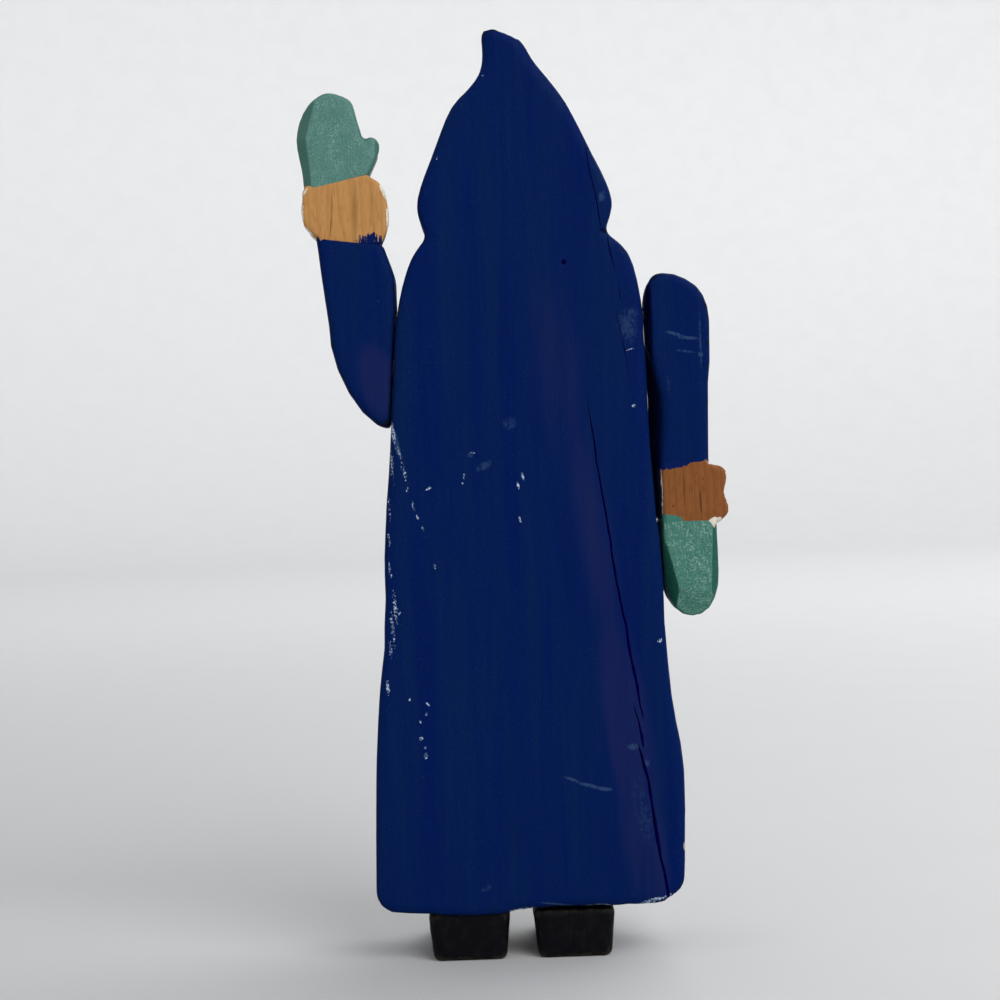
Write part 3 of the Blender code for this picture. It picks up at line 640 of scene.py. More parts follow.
# Shaders
class Graph:
    """Adds nodes to one node tree in few words."""

    def __init__(self, tree: bpy.types.NodeTree) -> None:
        """Keeps the tree that the nodes go into."""
        self.tree = tree

    def feed(self, socket: bpy.types.NodeSocket, value: Any) -> None:
        """Links a socket to another one, or sets its value.

        Args:
            socket: the socket that takes it.
            value: another socket, a colour or a number.
        """
        if isinstance(value, bpy.types.NodeSocket):
            self.tree.links.new(value, socket)
        elif socket.type == "RGBA":
            socket.default_value = (*value[:3], 1.0)
        else:
            socket.default_value = value

    def add(self, kind: str, inputs: Mapping | None = None, **settings: Any) -> bpy.types.Node:
        """Adds one node.

        Args:
            kind: the node's type, without its first word.
            inputs: what goes into its sockets, by name or number.
            settings: its other settings.

        Returns:
            The new node.
        """
        node = self.tree.nodes.new("ShaderNode" + kind)
        for name, value in settings.items():
            setattr(node, name, value)
        for name, value in (inputs or {}).items():
            self.feed(node.inputs[name], value)
        return node

    def sum(self, operation: str, *values: Any) -> Any:
        """One sum with numbers, such as ADD or MAXIMUM."""
        return self.add("Math", dict(enumerate(values)), operation=operation).outputs[0]

    plus = partialmethod(sum, "ADD")
    minus = partialmethod(sum, "SUBTRACT")
    times = partialmethod(sum, "MULTIPLY")
    most = partialmethod(sum, "MAXIMUM")

    def move(self, operation: str, *values: Any) -> Any:
        """One sum with vectors, such as SUBTRACT or DIVIDE."""
        return self.add("VectorMath", dict(enumerate(values)), operation=operation).outputs[0]

    def mix(self, share: Any, first: Any, second: Any, blend: str = "MIX") -> Any:
        """Mixes two colours. A share of 1 is all of the second."""
        inputs = {0: share, 6: first, 7: second}
        return self.add("Mix", inputs, data_type="RGBA", blend_type=blend).outputs[2]

    def ease(self, value: Any, low: float, high: float, top: float = 1.0) -> Any:
        """Goes softly from 0 where the value is low to the top where it is high."""
        inputs = {"Value": value, "From Min": low, "From Max": high, "To Max": top}
        return self.add("MapRange", inputs, interpolation_type="SMOOTHSTEP").outputs[0]

    def noise(self, position: Any, size: Size, detail: float = 3.0) -> Any:
        """Uneven values from 0 to 1, about as large as size, in millimetres."""
        scaled = self.move("DIVIDE", position, metres(size))
        return self.add("TexNoise", {"Vector": scaled, "Scale": 1.0, "Detail": detail}).outputs[0]

    def axes(self, vector: Any) -> Any:
        """Takes a vector apart into X, Y and Z."""
        return self.add("SeparateXYZ", {0: vector}).outputs


def metres(size: Size) -> tuple[float, ...]:
    """Gives a size in millimetres as three lengths in metres."""
    return tuple(v * MM for v in (size if isinstance(size, tuple) else (size,) * 3))


VECTORS = ("Position", "Centre", "Half Size", "Size")


def shared(name: str, inputs: Sequence[str], outputs: Sequence[str]) -> Callable:
    """Turns a function that draws nodes into a shared effect, built when it is first placed.

    Args:
        name: the effect's name.
        inputs: its inputs. Those in VECTORS are vectors, and the others values.
        outputs: its outputs, all of them values.

    Returns:
        A decorator. Its function gives the effect's node tree.
    """

    def effect(draw: Callable[[Graph, Any], Sequence[Any]]) -> Callable[[], bpy.types.NodeTree]:
        """Wraps a function that draws nodes.

        Args:
            draw: adds the effect's nodes and gives what goes to its outputs.

        Returns:
            A function that gives the effect's node tree.
        """

        @wraps(draw)
        def build() -> bpy.types.NodeTree:
            """Builds the effect the first time, and finds it after that.

            Returns:
                The effect's node tree.
            """
            tree = bpy.data.node_groups.get(name)
            if tree is None:
                tree = bpy.data.node_groups.new(name, "ShaderNodeTree")
                sockets = [(label, "INPUT", label in VECTORS) for label in inputs]
                sockets += [(label, "OUTPUT", False) for label in outputs]
                for label, way, vector in sockets:
                    kind = "NodeSocketVector" if vector else "NodeSocketFloat"
                    tree.interface.new_socket(label, in_out=way, socket_type=kind)
                start, end = tree.nodes.new("NodeGroupInput"), tree.nodes.new("NodeGroupOutput")
                graph = Graph(tree)
                for label, value in zip(outputs, draw(graph, start.outputs)):
                    graph.feed(end.inputs[label], value)
            return tree

        return build

    return effect


@shared("brush strokes", ("Position", "Width", "Length"), ("Streak", "Height"))
def strokes(g: Graph, given: Any) -> Sequence[Any]:
    """Long marks of a brush: how light each stroke is, and how high its paint stands.

    Args:
        g: the effect's nodes.
        given: its inputs by name.

    Returns:
        What goes to its outputs, in order.
    """
    size = g.add("CombineXYZ", {0: given["Width"], 1: given["Width"], 2: given["Length"]})
    askew = {"Vector": given["Position"], "Angle": 0.62}
    turned = g.add("VectorRotate", askew, rotation_type="Z_AXIS").outputs[0]
    place = g.move("DIVIDE", turned, size.outputs[0])
    broad = g.add("TexNoise", {"Vector": place, "Scale": 1.0, "Detail": 3.0, "Distortion": 0.3})
    hairs = g.add("TexNoise", {"Vector": place, "Scale": 2.7, "Detail": 2.0})
    light = g.ease(broad.outputs[0], 0.32, 0.68)
    return light, g.plus(g.times(light, 0.6), g.times(hairs.outputs[0], 0.4))


@shared("pine grain", ("Position", "Ring"), ("Late", "Fibres", "Height"))
def grain(g: Graph, given: Any) -> Sequence[Any]:
    """Upright grain of sawn pine: dark late wood, fine fibres, and their height.

    Args:
        g: the effect's nodes.
        given: its inputs by name.

    Returns:
        What goes to its outputs, in order.
    """
    across = g.axes(given["Position"])["X"]
    wander = g.noise(given["Position"], (9.0, 9.0, 70.0), 2.0)
    rings = g.plus(g.sum("DIVIDE", across, given["Ring"]), g.times(wander, 3.2))
    saw = g.sum("FRACT", rings)
    late = g.times(g.ease(saw, 0.45, 0.93), g.ease(saw, 1.0, 0.95))
    fibres = g.noise(given["Position"], (0.16, 0.16, 5.0), 3.0)
    return late, fibres, g.minus(fibres, g.times(late, 0.5))


@shared("oval spot", ("Position", "Centre", "Half Size", "Turn"), ("Mask",))
def patch(g: Graph, given: Any) -> Sequence[Any]:
    """A soft oval spot in one place: 1 in its middle, 0 from its rim outward.

    Args:
        g: the effect's nodes.
        given: its inputs by name.

    Returns:
        What goes to its outputs, in order.
    """
    away = g.move("SUBTRACT", given["Position"], given["Centre"])
    turn = {"Vector": away, "Angle": given["Turn"]}
    turned = g.add("VectorRotate", turn, rotation_type="Y_AXIS").outputs[0]
    scaled = g.move("DIVIDE", turned, given["Half Size"])
    far = g.add("VectorMath", {0: scaled, 1: scaled}, operation="DOT_PRODUCT").outputs["Value"]
    return (g.add("Clamp", {"Value": g.minus(1.0, far)}).outputs[0],)


@shared("flaked paint", ("Position", "Region", "Size", "Ragged"), ("Mask",))
def flakes(g: Graph, given: Any) -> Sequence[Any]:
    """Ragged loss of paint, inside a region.

    Args:
        g: the effect's nodes.
        given: its inputs by name.

    Returns:
        What goes to its outputs, in order.
    """
    place = g.move("DIVIDE", given["Position"], given["Size"])
    uneven = g.add("TexNoise", {"Vector": place, "Scale": 1.0, "Detail": 4.0, "Roughness": 0.6})
    push = g.times(g.minus(uneven.outputs[0], 0.5), given["Ragged"])
    ragged = g.ease(g.plus(given["Region"], push), 0.46, 0.54)
    return (g.times(ragged, g.ease(given["Region"], 0.0, 0.15)),)


@shared("wear, dirt and painted shade", ("Position", "Ridge", "Hollow", "Amount"), ("Wear", "DirtAndShade"))
def rubbing(g: Graph, given: Any) -> Sequence[Any]:
    """Wear on ridges, and dirt with painted shade in hollows, both uneven.

    Args:
        g: the effect's nodes.
        given: its inputs by name.

    Returns:
        What goes to its outputs, in order.
    """
    uneven = g.noise(given["Position"], 2.2, 4.0)
    ridge = g.plus(given["Ridge"], g.minus(uneven, 0.62))
    deep = g.times(given["Hollow"], g.plus(0.45, uneven))
    return g.times(g.ease(ridge, 0.25, 0.55), given["Amount"]), g.ease(deep, 0.04, 0.55)


@dataclass(frozen=True)
class Mark:
    """One spot on a painted or bare surface, in millimetres.

    Attributes:
        show: what shows there.
        x: its middle.
        z: its middle.
        wide: half of its width.
        tall: half of its height.
        turn: how far it is turned to the left, seen from behind, in degrees.
        strength: how fully it shows.
        y: the middle of the surface it is on.
        deep: half of its size from front to back.
    """

    show: Show
    x: float
    z: float
    wide: float
    tall: float
    turn: float = 0.0
    strength: float = 1.0
    y: float = 25.5
    deep: float = 4.0


def mark_all(rows: Mapping[Show, Sequence[Sequence[float]]]) -> tuple[Mark, ...]:
    """Makes marks of rows of numbers, in a table by what shows there."""
    return tuple(Mark(show, *row) for show, group in rows.items() for row in group)


class Coat:
    """A finish under way: its material, and its colour so far."""

    def __init__(self, name: str, colour: Colour = (0.0, 0.0, 0.0)) -> None:
        """Makes a material of one colour.

        Args:
            name: the material's name.
            colour: its first colour.
        """
        self.material = bpy.data.materials.new(name)
        self.material.use_nodes = True
        self.g = Graph(self.material.node_tree)
        self.position = self.g.add("TexCoord").outputs["Object"]
        self.colour: Any = colour

    def place(self, effect: Callable, **inputs: Any) -> Any:
        """Places a shared effect where the piece is.

        Args:
            effect: the effect.
            inputs: what goes into it, by name with _ for each space.

        Returns:
            Its outputs.
        """
        given = {label.replace("_", " "): value for label, value in inputs.items()}
        return self.g.add(
            "Group", {"Position": self.position, **given}, node_tree=effect()
        ).outputs

    def lay(self, share: Any, paint: Any) -> None:
        """Lays another colour over the one so far. A share of 1 covers it."""
        self.colour = self.g.mix(share, self.colour, paint)

    def noise(self, size: Size, detail: float = 3.0) -> Any:
        """Uneven values from 0 to 1 over the piece, about as large as size."""
        return self.g.noise(self.position, size, detail)

    def worn(self, label: str) -> Any:
        """Reads the carving's ridge or hollow values."""
        return self.g.add("Attribute", attribute_name=label).outputs["Fac"]

    def rub(self, amount: float) -> Any:
        """Places the wear, and the dirt and painted shade in hollows, and returns its outputs."""
        ridge, hollow = self.worn("ridge"), self.worn("hollow")
        return self.place(rubbing, Ridge=ridge, Hollow=hollow, Amount=amount)

    def flaked(self, region: Any, size: Size, ragged: float) -> Any:
        """Places ragged loss of paint inside a region."""
        return self.place(flakes, Region=region, Size=metres(size), Ragged=ragged)["Mask"]

    def brushed(self, width: float, length: float) -> Any:
        """Places brush strokes of a width and length in millimetres."""
        return self.place(strokes, Width=width * MM, Length=length * MM)

    def grained(self, ring: float) -> Any:
        """Places pine grain with its rings this far apart, in millimetres."""
        return self.place(grain, Ring=ring * MM)

    def near(self, low: float, high: float) -> Any:
        """1 where the surface is behind high, 0 in front of low, along Y in millimetres."""
        return self.g.ease(self.g.axes(self.position)["Y"], low * MM, high * MM)

    def facing(self) -> Any:
        """The way the surface looks, along X, Y and Z."""
        return self.g.axes(self.g.add("TexCoord").outputs["Normal"])

    def spots(self, marks: Sequence[Mark], show: Show) -> Any:
        """Joins all marks of one kind into one mask.

        Args:
            marks: the marks on the piece.
            show: which kind to join.

        Returns:
            A value, 0 away from the marks.
        """
        mask: Any = 0.0
        for one in (mark for mark in marks if mark.show is show):
            spot = self.place(
                patch,
                Centre=metres((one.x, one.y, one.z)),
                Half_Size=metres((one.wide, one.deep, one.tall)),
                Turn=math.radians(-one.turn),
            )
            spot = self.g.times(spot["Mask"], one.strength)
            mask = spot if mask == 0.0 else self.g.most(mask, spot)
        return mask

    def done(
        self, roughness: Any, height: Any, depth: float, shine: float = 0.3
    ) -> bpy.types.Material:
        """Joins the finish to the shader.

        Args:
            roughness: its roughness.
            height: its fine relief.
            depth: how deep that relief goes, in millimetres.
            shine: how much light it throws back at a glance.

        Returns:
            The material.
        """
        sockets = self.material.node_tree.nodes["Principled BSDF"].inputs
        relief = {"Height": height, "Distance": depth * MM, "Strength": 1.0}
        self.g.feed(sockets["Base Color"], self.colour)
        self.g.feed(sockets["Roughness"], roughness)
        self.g.feed(sockets["Normal"], self.g.add("Bump", relief).outputs[0])
        sockets["Specular IOR Level"].default_value = shine
        return self.material


@dataclass(frozen=True)
class Paint:
    """A finish of one name. Each kind lays its own coats."""

    name: str

    def make(self) -> bpy.types.Material:
        """Makes the material."""
        coat = Coat(self.name)
        return coat.done(*self.cover(coat))

    def cover(self, coat: Coat) -> tuple:
        """Lays the colours.

        Args:
            coat: the finish under way.

        Returns:
            What Coat.done needs: roughness, relief, its depth and maybe the shine.
        """
        raise NotImplementedError


@dataclass(frozen=True)
class BluePaint(Paint):
    """Deep blue craft paint, brushed along the grain over a pale primer."""

    marks: tuple[Mark, ...] = ()
    blue: Colour = (0.0004, 0.0086, 0.077)
    green_blue: Colour = (0.0014, 0.0122, 0.069)
    night: Colour = (0.0003, 0.0062, 0.058)
    violet: Colour = (0.0092, 0.0148, 0.078)
    olive_wear_dirt_and_shade: Colour = (0.0040, 0.0065, 0.0100)
    crest: Colour = (0.0045, 0.0280, 0.150)
    primer: Colour = (0.42, 0.49, 0.62)
    dust: Colour = (0.030, 0.066, 0.145)
    stain: Colour = (0.33, 0.26, 0.24)
    # painted shade: the dark navy that the SHADE marks lay in narrow places
    painted_shade: Colour = (0.0002, 0.0016, 0.020)

    def cover(self, coat: Coat) -> tuple:
        """Lays blues in strokes, then wear and painted shade on the rims, dirt and painted shade
        in hollows, dust, painted shade in narrow places, chips and bare wood.

        Args:
            coat: the finish under way.

        Returns:
            What Coat.done needs.
        """
        g = coat.g
        fine, broad = coat.brushed(1.1, 24.0), coat.brushed(7.0, 110.0)
        weave = coat.noise((0.62, 0.50, 0.66))
        coat.colour = self.blue
        coat.lay(broad["Streak"], self.green_blue)
        coat.lay(g.times(fine["Streak"], 0.16), self.night)
        coat.lay(g.ease(weave, 0.44, 0.30, 0.5), self.night)
        coat.lay(g.ease(weave, 0.58, 0.76, 0.20), self.dust)
        tint = g.times(coat.spots(self.marks, Show.TINT), coat.noise((5.5, 8.0, 60.0), 4.0))
        coat.lay(g.ease(tint, 0.06, 0.55, 0.72), self.violet)
        rear = coat.near(17.0, 22.0)
        crest = g.times(g.ease(coat.worn("ridge"), 0.05, 0.30), g.minus(1.0, rear))
        coat.lay(g.times(crest, g.ease(fine["Height"], 0.35, 0.65, 0.8)), self.crest)
        rub = coat.rub(0.85)
        # darker olive on the rims and in the hollows: partly wear and dirt, partly painted shade
        coat.lay(g.times(rub["Wear"], g.most(rear, 0.08)), self.olive_wear_dirt_and_shade)
        coat.lay(g.times(rub["DirtAndShade"], 0.7), self.olive_wear_dirt_and_shade)
        smear = coat.spots(self.marks, Show.SMUDGE)
        smear = g.ease(g.times(smear, coat.noise((0.75, 0.75, 1.1), 5.0)), 0.20, 0.62, 0.62)
        coat.lay(smear, self.dust)
        # painted shade in narrow places, from the SHADE marks
        coat.lay(g.ease(coat.spots(self.marks, Show.SHADE), 0.0, 0.8, 0.9), self.painted_shade)
        coat.lay(g.ease(coat.noise((0.7, 0.7, 0.9), 2.0), 0.800, 0.820, 0.4), self.primer)
        chips = coat.flaked(coat.spots(self.marks, Show.CHIP), (0.42, 0.42, 0.66), 2.5)
        coat.lay(chips, g.mix(g.ease(coat.noise(0.8, 2.0), 0.40, 0.62), self.dust, self.primer))
        bare = coat.flaked(coat.spots(self.marks, Show.BARE), 0.6, 0.6)
        coat.lay(bare, self.stain)
        lost = g.most(chips, bare)
        rough = g.plus(0.40, g.times(fine["Streak"], 0.10))
        rough = g.plus(rough, g.times(g.most(lost, smear), 0.28))
        height = g.plus(fine["Height"], g.times(weave, 0.6))
        return rough, g.minus(height, g.times(lost, 0.9)), 0.06, 0.02


@dataclass(frozen=True)
class FurPaint(Paint):
    """Aged white paint on carved fur or hair, darker in its cuts with dirt and painted shade, and
    rubbed on its ridges.
    """

    white: Colour = (0.70, 0.67, 0.59)
    cream: Colour = (0.60, 0.54, 0.43)
    dirt: Colour = (0.20, 0.145, 0.09)
    wood: Colour = (0.42, 0.27, 0.13)

    def cover(self, coat: Coat) -> tuple:
        """Lays whites, then dirt and painted shade in the cuts, and wood where they are rubbed.

        Args:
            coat: the finish under way.

        Returns:
            What Coat.done needs.
        """
        g = coat.g
        brush = coat.brushed(0.5, 4.0)
        coat.colour = self.white
        coat.lay(g.ease(coat.noise(9.0, 4.0), 0.38, 0.66), self.cream)
        coat.lay(g.times(brush["Streak"], 0.22), self.cream)
        rub = coat.rub(0.55)
        # darker in the cuts: dirt and painted shade
        coat.lay(g.times(rub["DirtAndShade"], 0.85), self.dirt)
        specks = g.ease(coat.noise(0.7), 0.70, 0.76)
        wear = g.times(rub["Wear"], g.ease(coat.noise(1.1, 4.0), 0.50, 0.58))
        coat.lay(g.most(wear, g.times(specks, 0.35)), self.wood)
        return 0.58, g.minus(brush["Height"], g.times(wear, 0.5)), 0.10


@dataclass(frozen=True)
class CuffPaint(Paint):
    """A cuff of white fur whose flat back is bare wood, with its neighbours' paint run over it."""

    early: Colour
    late: Colour
    marks: tuple[Mark, ...]
    ring: float = 3.4
    ragged: float = 2.3
    # whether the side that faces the robe gets painted shade in the sleeve's blue
    paints_shade_towards_robe: bool = False
    blue: Colour = (0.0007, 0.0085, 0.072)
    green: Colour = (0.042, 0.165, 0.126)

    def cover(self, coat: Coat) -> tuple:
        """Lays fur paint, painted shade in blue on the side that faces the robe where asked, then
        bare wood behind and both laps of paint.

        Args:
            coat: the finish under way.

        Returns:
            What Coat.done needs.
        """
        g = coat.g
        _, relief, depth = FurPaint(self.name).cover(coat)
        pine, looks = coat.grained(self.ring), coat.facing()
        wood = g.mix(g.times(pine["Late"], 0.34), self.early, self.late)
        wood = g.mix(g.ease(pine["Fibres"], 0.42, 0.75, 0.30), wood, self.late)
        blotch = coat.noise((1.1, 1.1, 3.2), 5.0)
        wood = g.mix(g.ease(blotch, 0.48, 0.72, 0.45), wood, self.late)
        lines = g.times(coat.spots(self.marks, Show.BARE), g.plus(0.55, pine["Fibres"]))
        stain = tuple(v * 0.35 for v in self.late)
        wood = g.mix(g.ease(lines, 0.15, 0.95, 0.70), wood, stain)
        end = g.times(g.ease(g.sum("ABSOLUTE", looks["Z"]), 0.15, 0.4), coat.near(20.0, 21.0))
        region = g.most(coat.near(23.5, 24.5), end)
        region = g.minus(region, coat.spots(self.marks, Show.CHIP))
        bare = coat.flaked(region, (0.7, 0.7, 1.1), 1.0)
        # painted shade: the side that faces the robe turns dark blue
        if self.paints_shade_towards_robe:
            coat.lay(g.ease(looks["X"], 0.82, 0.95, 0.95), self.blue)
        coat.lay(bare, wood)
        for show, paint in ((Show.SMUDGE, self.blue), (Show.TINT, self.green)):
            lap = coat.spots(self.marks, show)
            coat.lay(coat.flaked(lap, (0.42, 0.6, 2.6), self.ragged), paint)
        rough = g.plus(0.52, g.times(pine["Fibres"], 0.14))
        return rough, g.mix(bare, relief, g.times(pine["Height"], 0.55)), depth, 0.04


@dataclass(frozen=True)
class MittenPaint(Paint):
    """Teal green paint, dark in its coat and dabbed lighter where the wood is flat."""

    light: Colour
    dark: Colour
    flecks: Colour
    speckle: float
    woven: float
    dust: Colour = (0.300, 0.500, 0.450)

    def cover(self, coat: Coat) -> tuple:
        """Lays the coat, and over it the cloth-like dabs on the flat back.

        Args:
            coat: the finish under way.

        Returns:
            What Coat.done needs.
        """
        g = coat.g
        dabs = coat.noise((0.62, 0.62, 0.72), 4.0)
        cloth = g.most(coat.noise((0.36, 0.36, 1.9), 4.0), coat.noise((1.7, 1.7, 0.34), 4.0))
        inputs = {0: self.woven, 2: dabs, 3: g.minus(cloth, 0.03)}
        weave = g.add("Mix", inputs, data_type="FLOAT").outputs[0]
        dots = coat.noise((0.36, 0.36, 0.40), 2.0)
        where = g.ease(coat.noise((4.2, 4.2, 5.0), 2.0), 0.42, 0.60)
        over = g.mix(g.ease(coat.noise((3.5, 3.5, 7.0)), 0.45, 0.78, 0.30), self.light, self.dark)
        lighter = g.plus(0.45, g.times(where, 0.55))
        lighter = g.times(lighter, g.ease(weave, 0.50, 0.62, self.speckle))
        over = g.mix(lighter, over, self.flecks)
        over = g.mix(g.ease(dabs, 0.42, 0.33, 0.55), over, self.dark)
        over = g.mix(g.times(g.ease(dots, 0.60, 0.70, 0.7), where), over, self.dust)
        over = g.mix(g.ease(dots, 0.36, 0.28, 0.6), over, self.dark)
        coat.colour = self.dark
        coat.lay(g.ease(dabs, 0.40, 0.70, 0.35), self.light)
        coat.lay(g.ease(coat.facing()["Y"], 0.83, 0.91), over)
        rub = coat.rub(0.5)
        coat.lay(rub["Wear"], self.light)
        # darker in the hollows: dirt and painted shade
        coat.lay(g.times(rub["DirtAndShade"], 0.7), self.dark)
        height = g.plus(dabs, g.times(coat.brushed(0.5, 6.0)["Height"], 0.5))
        return g.ease(dabs, 1.0, 0.0, 0.75), height, 0.12, 0.12


@dataclass(frozen=True)
class SkinPaint(Paint):
    """Warm skin paint with rubbed-in colour on the cheeks."""

    cheeks: tuple[Mark, ...] = ()
    skin: Colour = (0.58, 0.345, 0.235)
    shade: Colour = (0.36, 0.165, 0.095)
    rose: Colour = (0.56, 0.150, 0.105)

    def cover(self, coat: Coat) -> tuple:
        """Lays the skin, the blush, and in the cuts a darker shade that is partly dirt and partly
        painted shade.

        Args:
            coat: the finish under way.

        Returns:
            What Coat.done needs.
        """
        g = coat.g
        brush = coat.brushed(0.6, 3.0)
        coat.colour = self.skin
        coat.lay(g.times(brush["Streak"], 0.16), self.shade)
        blush = g.times(coat.spots(self.cheeks, Show.TINT), 0.95)
        dabs = g.plus(0.55, g.times(coat.noise(0.9), 0.7))
        coat.lay(g.ease(g.times(blush, dabs), 0.0, 0.8, 0.8), self.rose)
        # darker in the cuts: dirt and painted shade
        coat.lay(g.times(coat.rub(0.3)["DirtAndShade"], 0.65), self.shade)
        return g.plus(0.42, g.times(brush["Streak"], 0.10)), brush["Height"], 0.06


@dataclass(frozen=True)
class EyePaint(Paint):
    """A painted eye: white, a blue ring, a black middle and one dab of light. In millimetres."""

    x: float
    z: float
    white: Colour = (0.66, 0.63, 0.57)
    cream: Colour = (0.5, 0.42, 0.34)
    iris: Colour = (0.045, 0.080, 0.135)
    pupil: Colour = (0.004, 0.004, 0.005)

    def cover(self, coat: Coat) -> tuple:
        """Lays the white and one round spot after another.

        Args:
            coat: the finish under way.

        Returns:
            What Coat.done needs.
        """
        g = coat.g
        brush = coat.brushed(0.2, 0.5)
        coat.colour = self.white
        coat.lay(g.times(brush["Streak"], 0.2), self.cream)
        rings = ((1.25, self.iris, 0.0, 0.0), (0.62, self.pupil, 0.0, 0.0))
        for radius, paint, dx, dz in (*rings, (0.24, self.white, 0.38, 0.42)):
            centre, size = metres((self.x + dx, -16.5, self.z + dz)), metres((radius, 20, radius))
            edge = coat.place(patch, Centre=centre, Half_Size=size, Turn=0.0)["Mask"]
            coat.lay(g.ease(edge, 0.02, 0.12), paint)
        return 0.28, brush["Height"], 0.02, 0.5


@dataclass(frozen=True)
class BootPaint(Paint):
    """Black paint with dull scuffs, pale specks and wood at its rubbed edges."""

    black: Colour = (0.0022, 0.0024, 0.0040)
    scuff: Colour = (0.0050, 0.0044, 0.0052)
    speck: Colour = (0.10, 0.10, 0.10)
    wood: Colour = (0.034, 0.030, 0.018)

    def cover(self, coat: Coat) -> tuple:
        """Lays black, scuffs, wear and specks.

        Args:
            coat: the finish under way.

        Returns:
            What Coat.done needs.
        """
        g = coat.g
        patches = g.ease(coat.noise(3.4, 5.0), 0.46, 0.70)
        coat.colour = self.black
        coat.lay(patches, self.scuff)
        coat.lay(g.times(coat.rub(0.55)["Wear"], 0.8), self.wood)
        coat.lay(g.ease(coat.noise((0.5, 0.5, 0.35)), 0.735, 0.77, 0.55), self.speck)
        rough = g.plus(0.42, g.times(patches, 0.22))
        return rough, coat.brushed(0.7, 7.0)["Height"], 0.12, 0.06


@dataclass(frozen=True)
class BareWood(Paint):
    """Unpainted wood, as on pegs and dowels. Down in the split and the nail hole it gets bright
    navy instead, painted light for the shade there.
    """

    early: Colour = (0.46, 0.29, 0.14)
    late: Colour = (0.24, 0.125, 0.05)

    def cover(self, coat: Coat) -> tuple:
        """Lays early and late wood.

        Args:
            coat: the finish under way.

        Returns:
            What Coat.done needs.
        """
        g = coat.g
        pine = coat.grained(1.6)
        coat.colour = self.early
        coat.lay(g.times(pine["Late"], 0.7), self.late)
        coat.lay(g.ease(pine["Fibres"], 0.4, 0.8, 0.4), self.late)
        return g.plus(0.55, g.times(pine["Fibres"], 0.2)), pine["Height"], 0.10, 0.25


# Robe
@dataclass(frozen=True)
class Split:
    """One crack in the plank's back, in millimetres.

    Attributes:
        path: the places it runs through from the top down, each as x, z and its width there.
        depth: how deep it goes.
    """

    path: tuple[Place, ...]
    depth: float

    def cutter(self, name: str, back: float, inside: bpy.types.Material) -> bpy.types.Object:
        """Makes the wedge that cuts the crack.

        Args:
            name: the wedge's name.
            back: where the plank's back is, in metres.
            inside: the finish of the crack's walls.

        Returns:
            The wedge.
        """
        knots = np.array(self.path)
        reach = np.r_[0, np.linalg.norm(np.diff(knots[:, :2], axis=0), axis=1).cumsum()]
        at = np.linspace(0, reach[-1], max(5, int(reach[-1] / 1.2)))
        x, z, width = (np.interp(at, reach, knots[:, i]) for i in range(3))
        rows = np.stack([x, np.zeros(len(at)), z], axis=1)
        x = x + 0.20 * ripple(rows, 4.5, 5) + 0.12 * ripple(rows, 1.6, 6)
        half = np.maximum(width / 2 * (1 + 0.30 * ripple(rows, 2.2, 7)), 0.03)
        rings = np.empty((len(at), 3, 3))
        for i, (side, out) in enumerate(((-1.0, 0.5), (1.0, 0.5), (0.0, -self.depth))):
            rings[:, i, 0] = x + side * half * (1 + 0.5 / self.depth)
            rings[:, i, 1] = back / MM + out
            rings[:, i, 2] = z
        rings[:, 2, 0] += 0.4 * ripple(rows, 9.0, 8)
        wedge = sleeve_of_rings(name, rings * MM)
        wedge.data.materials.append(inside)
        return wedge


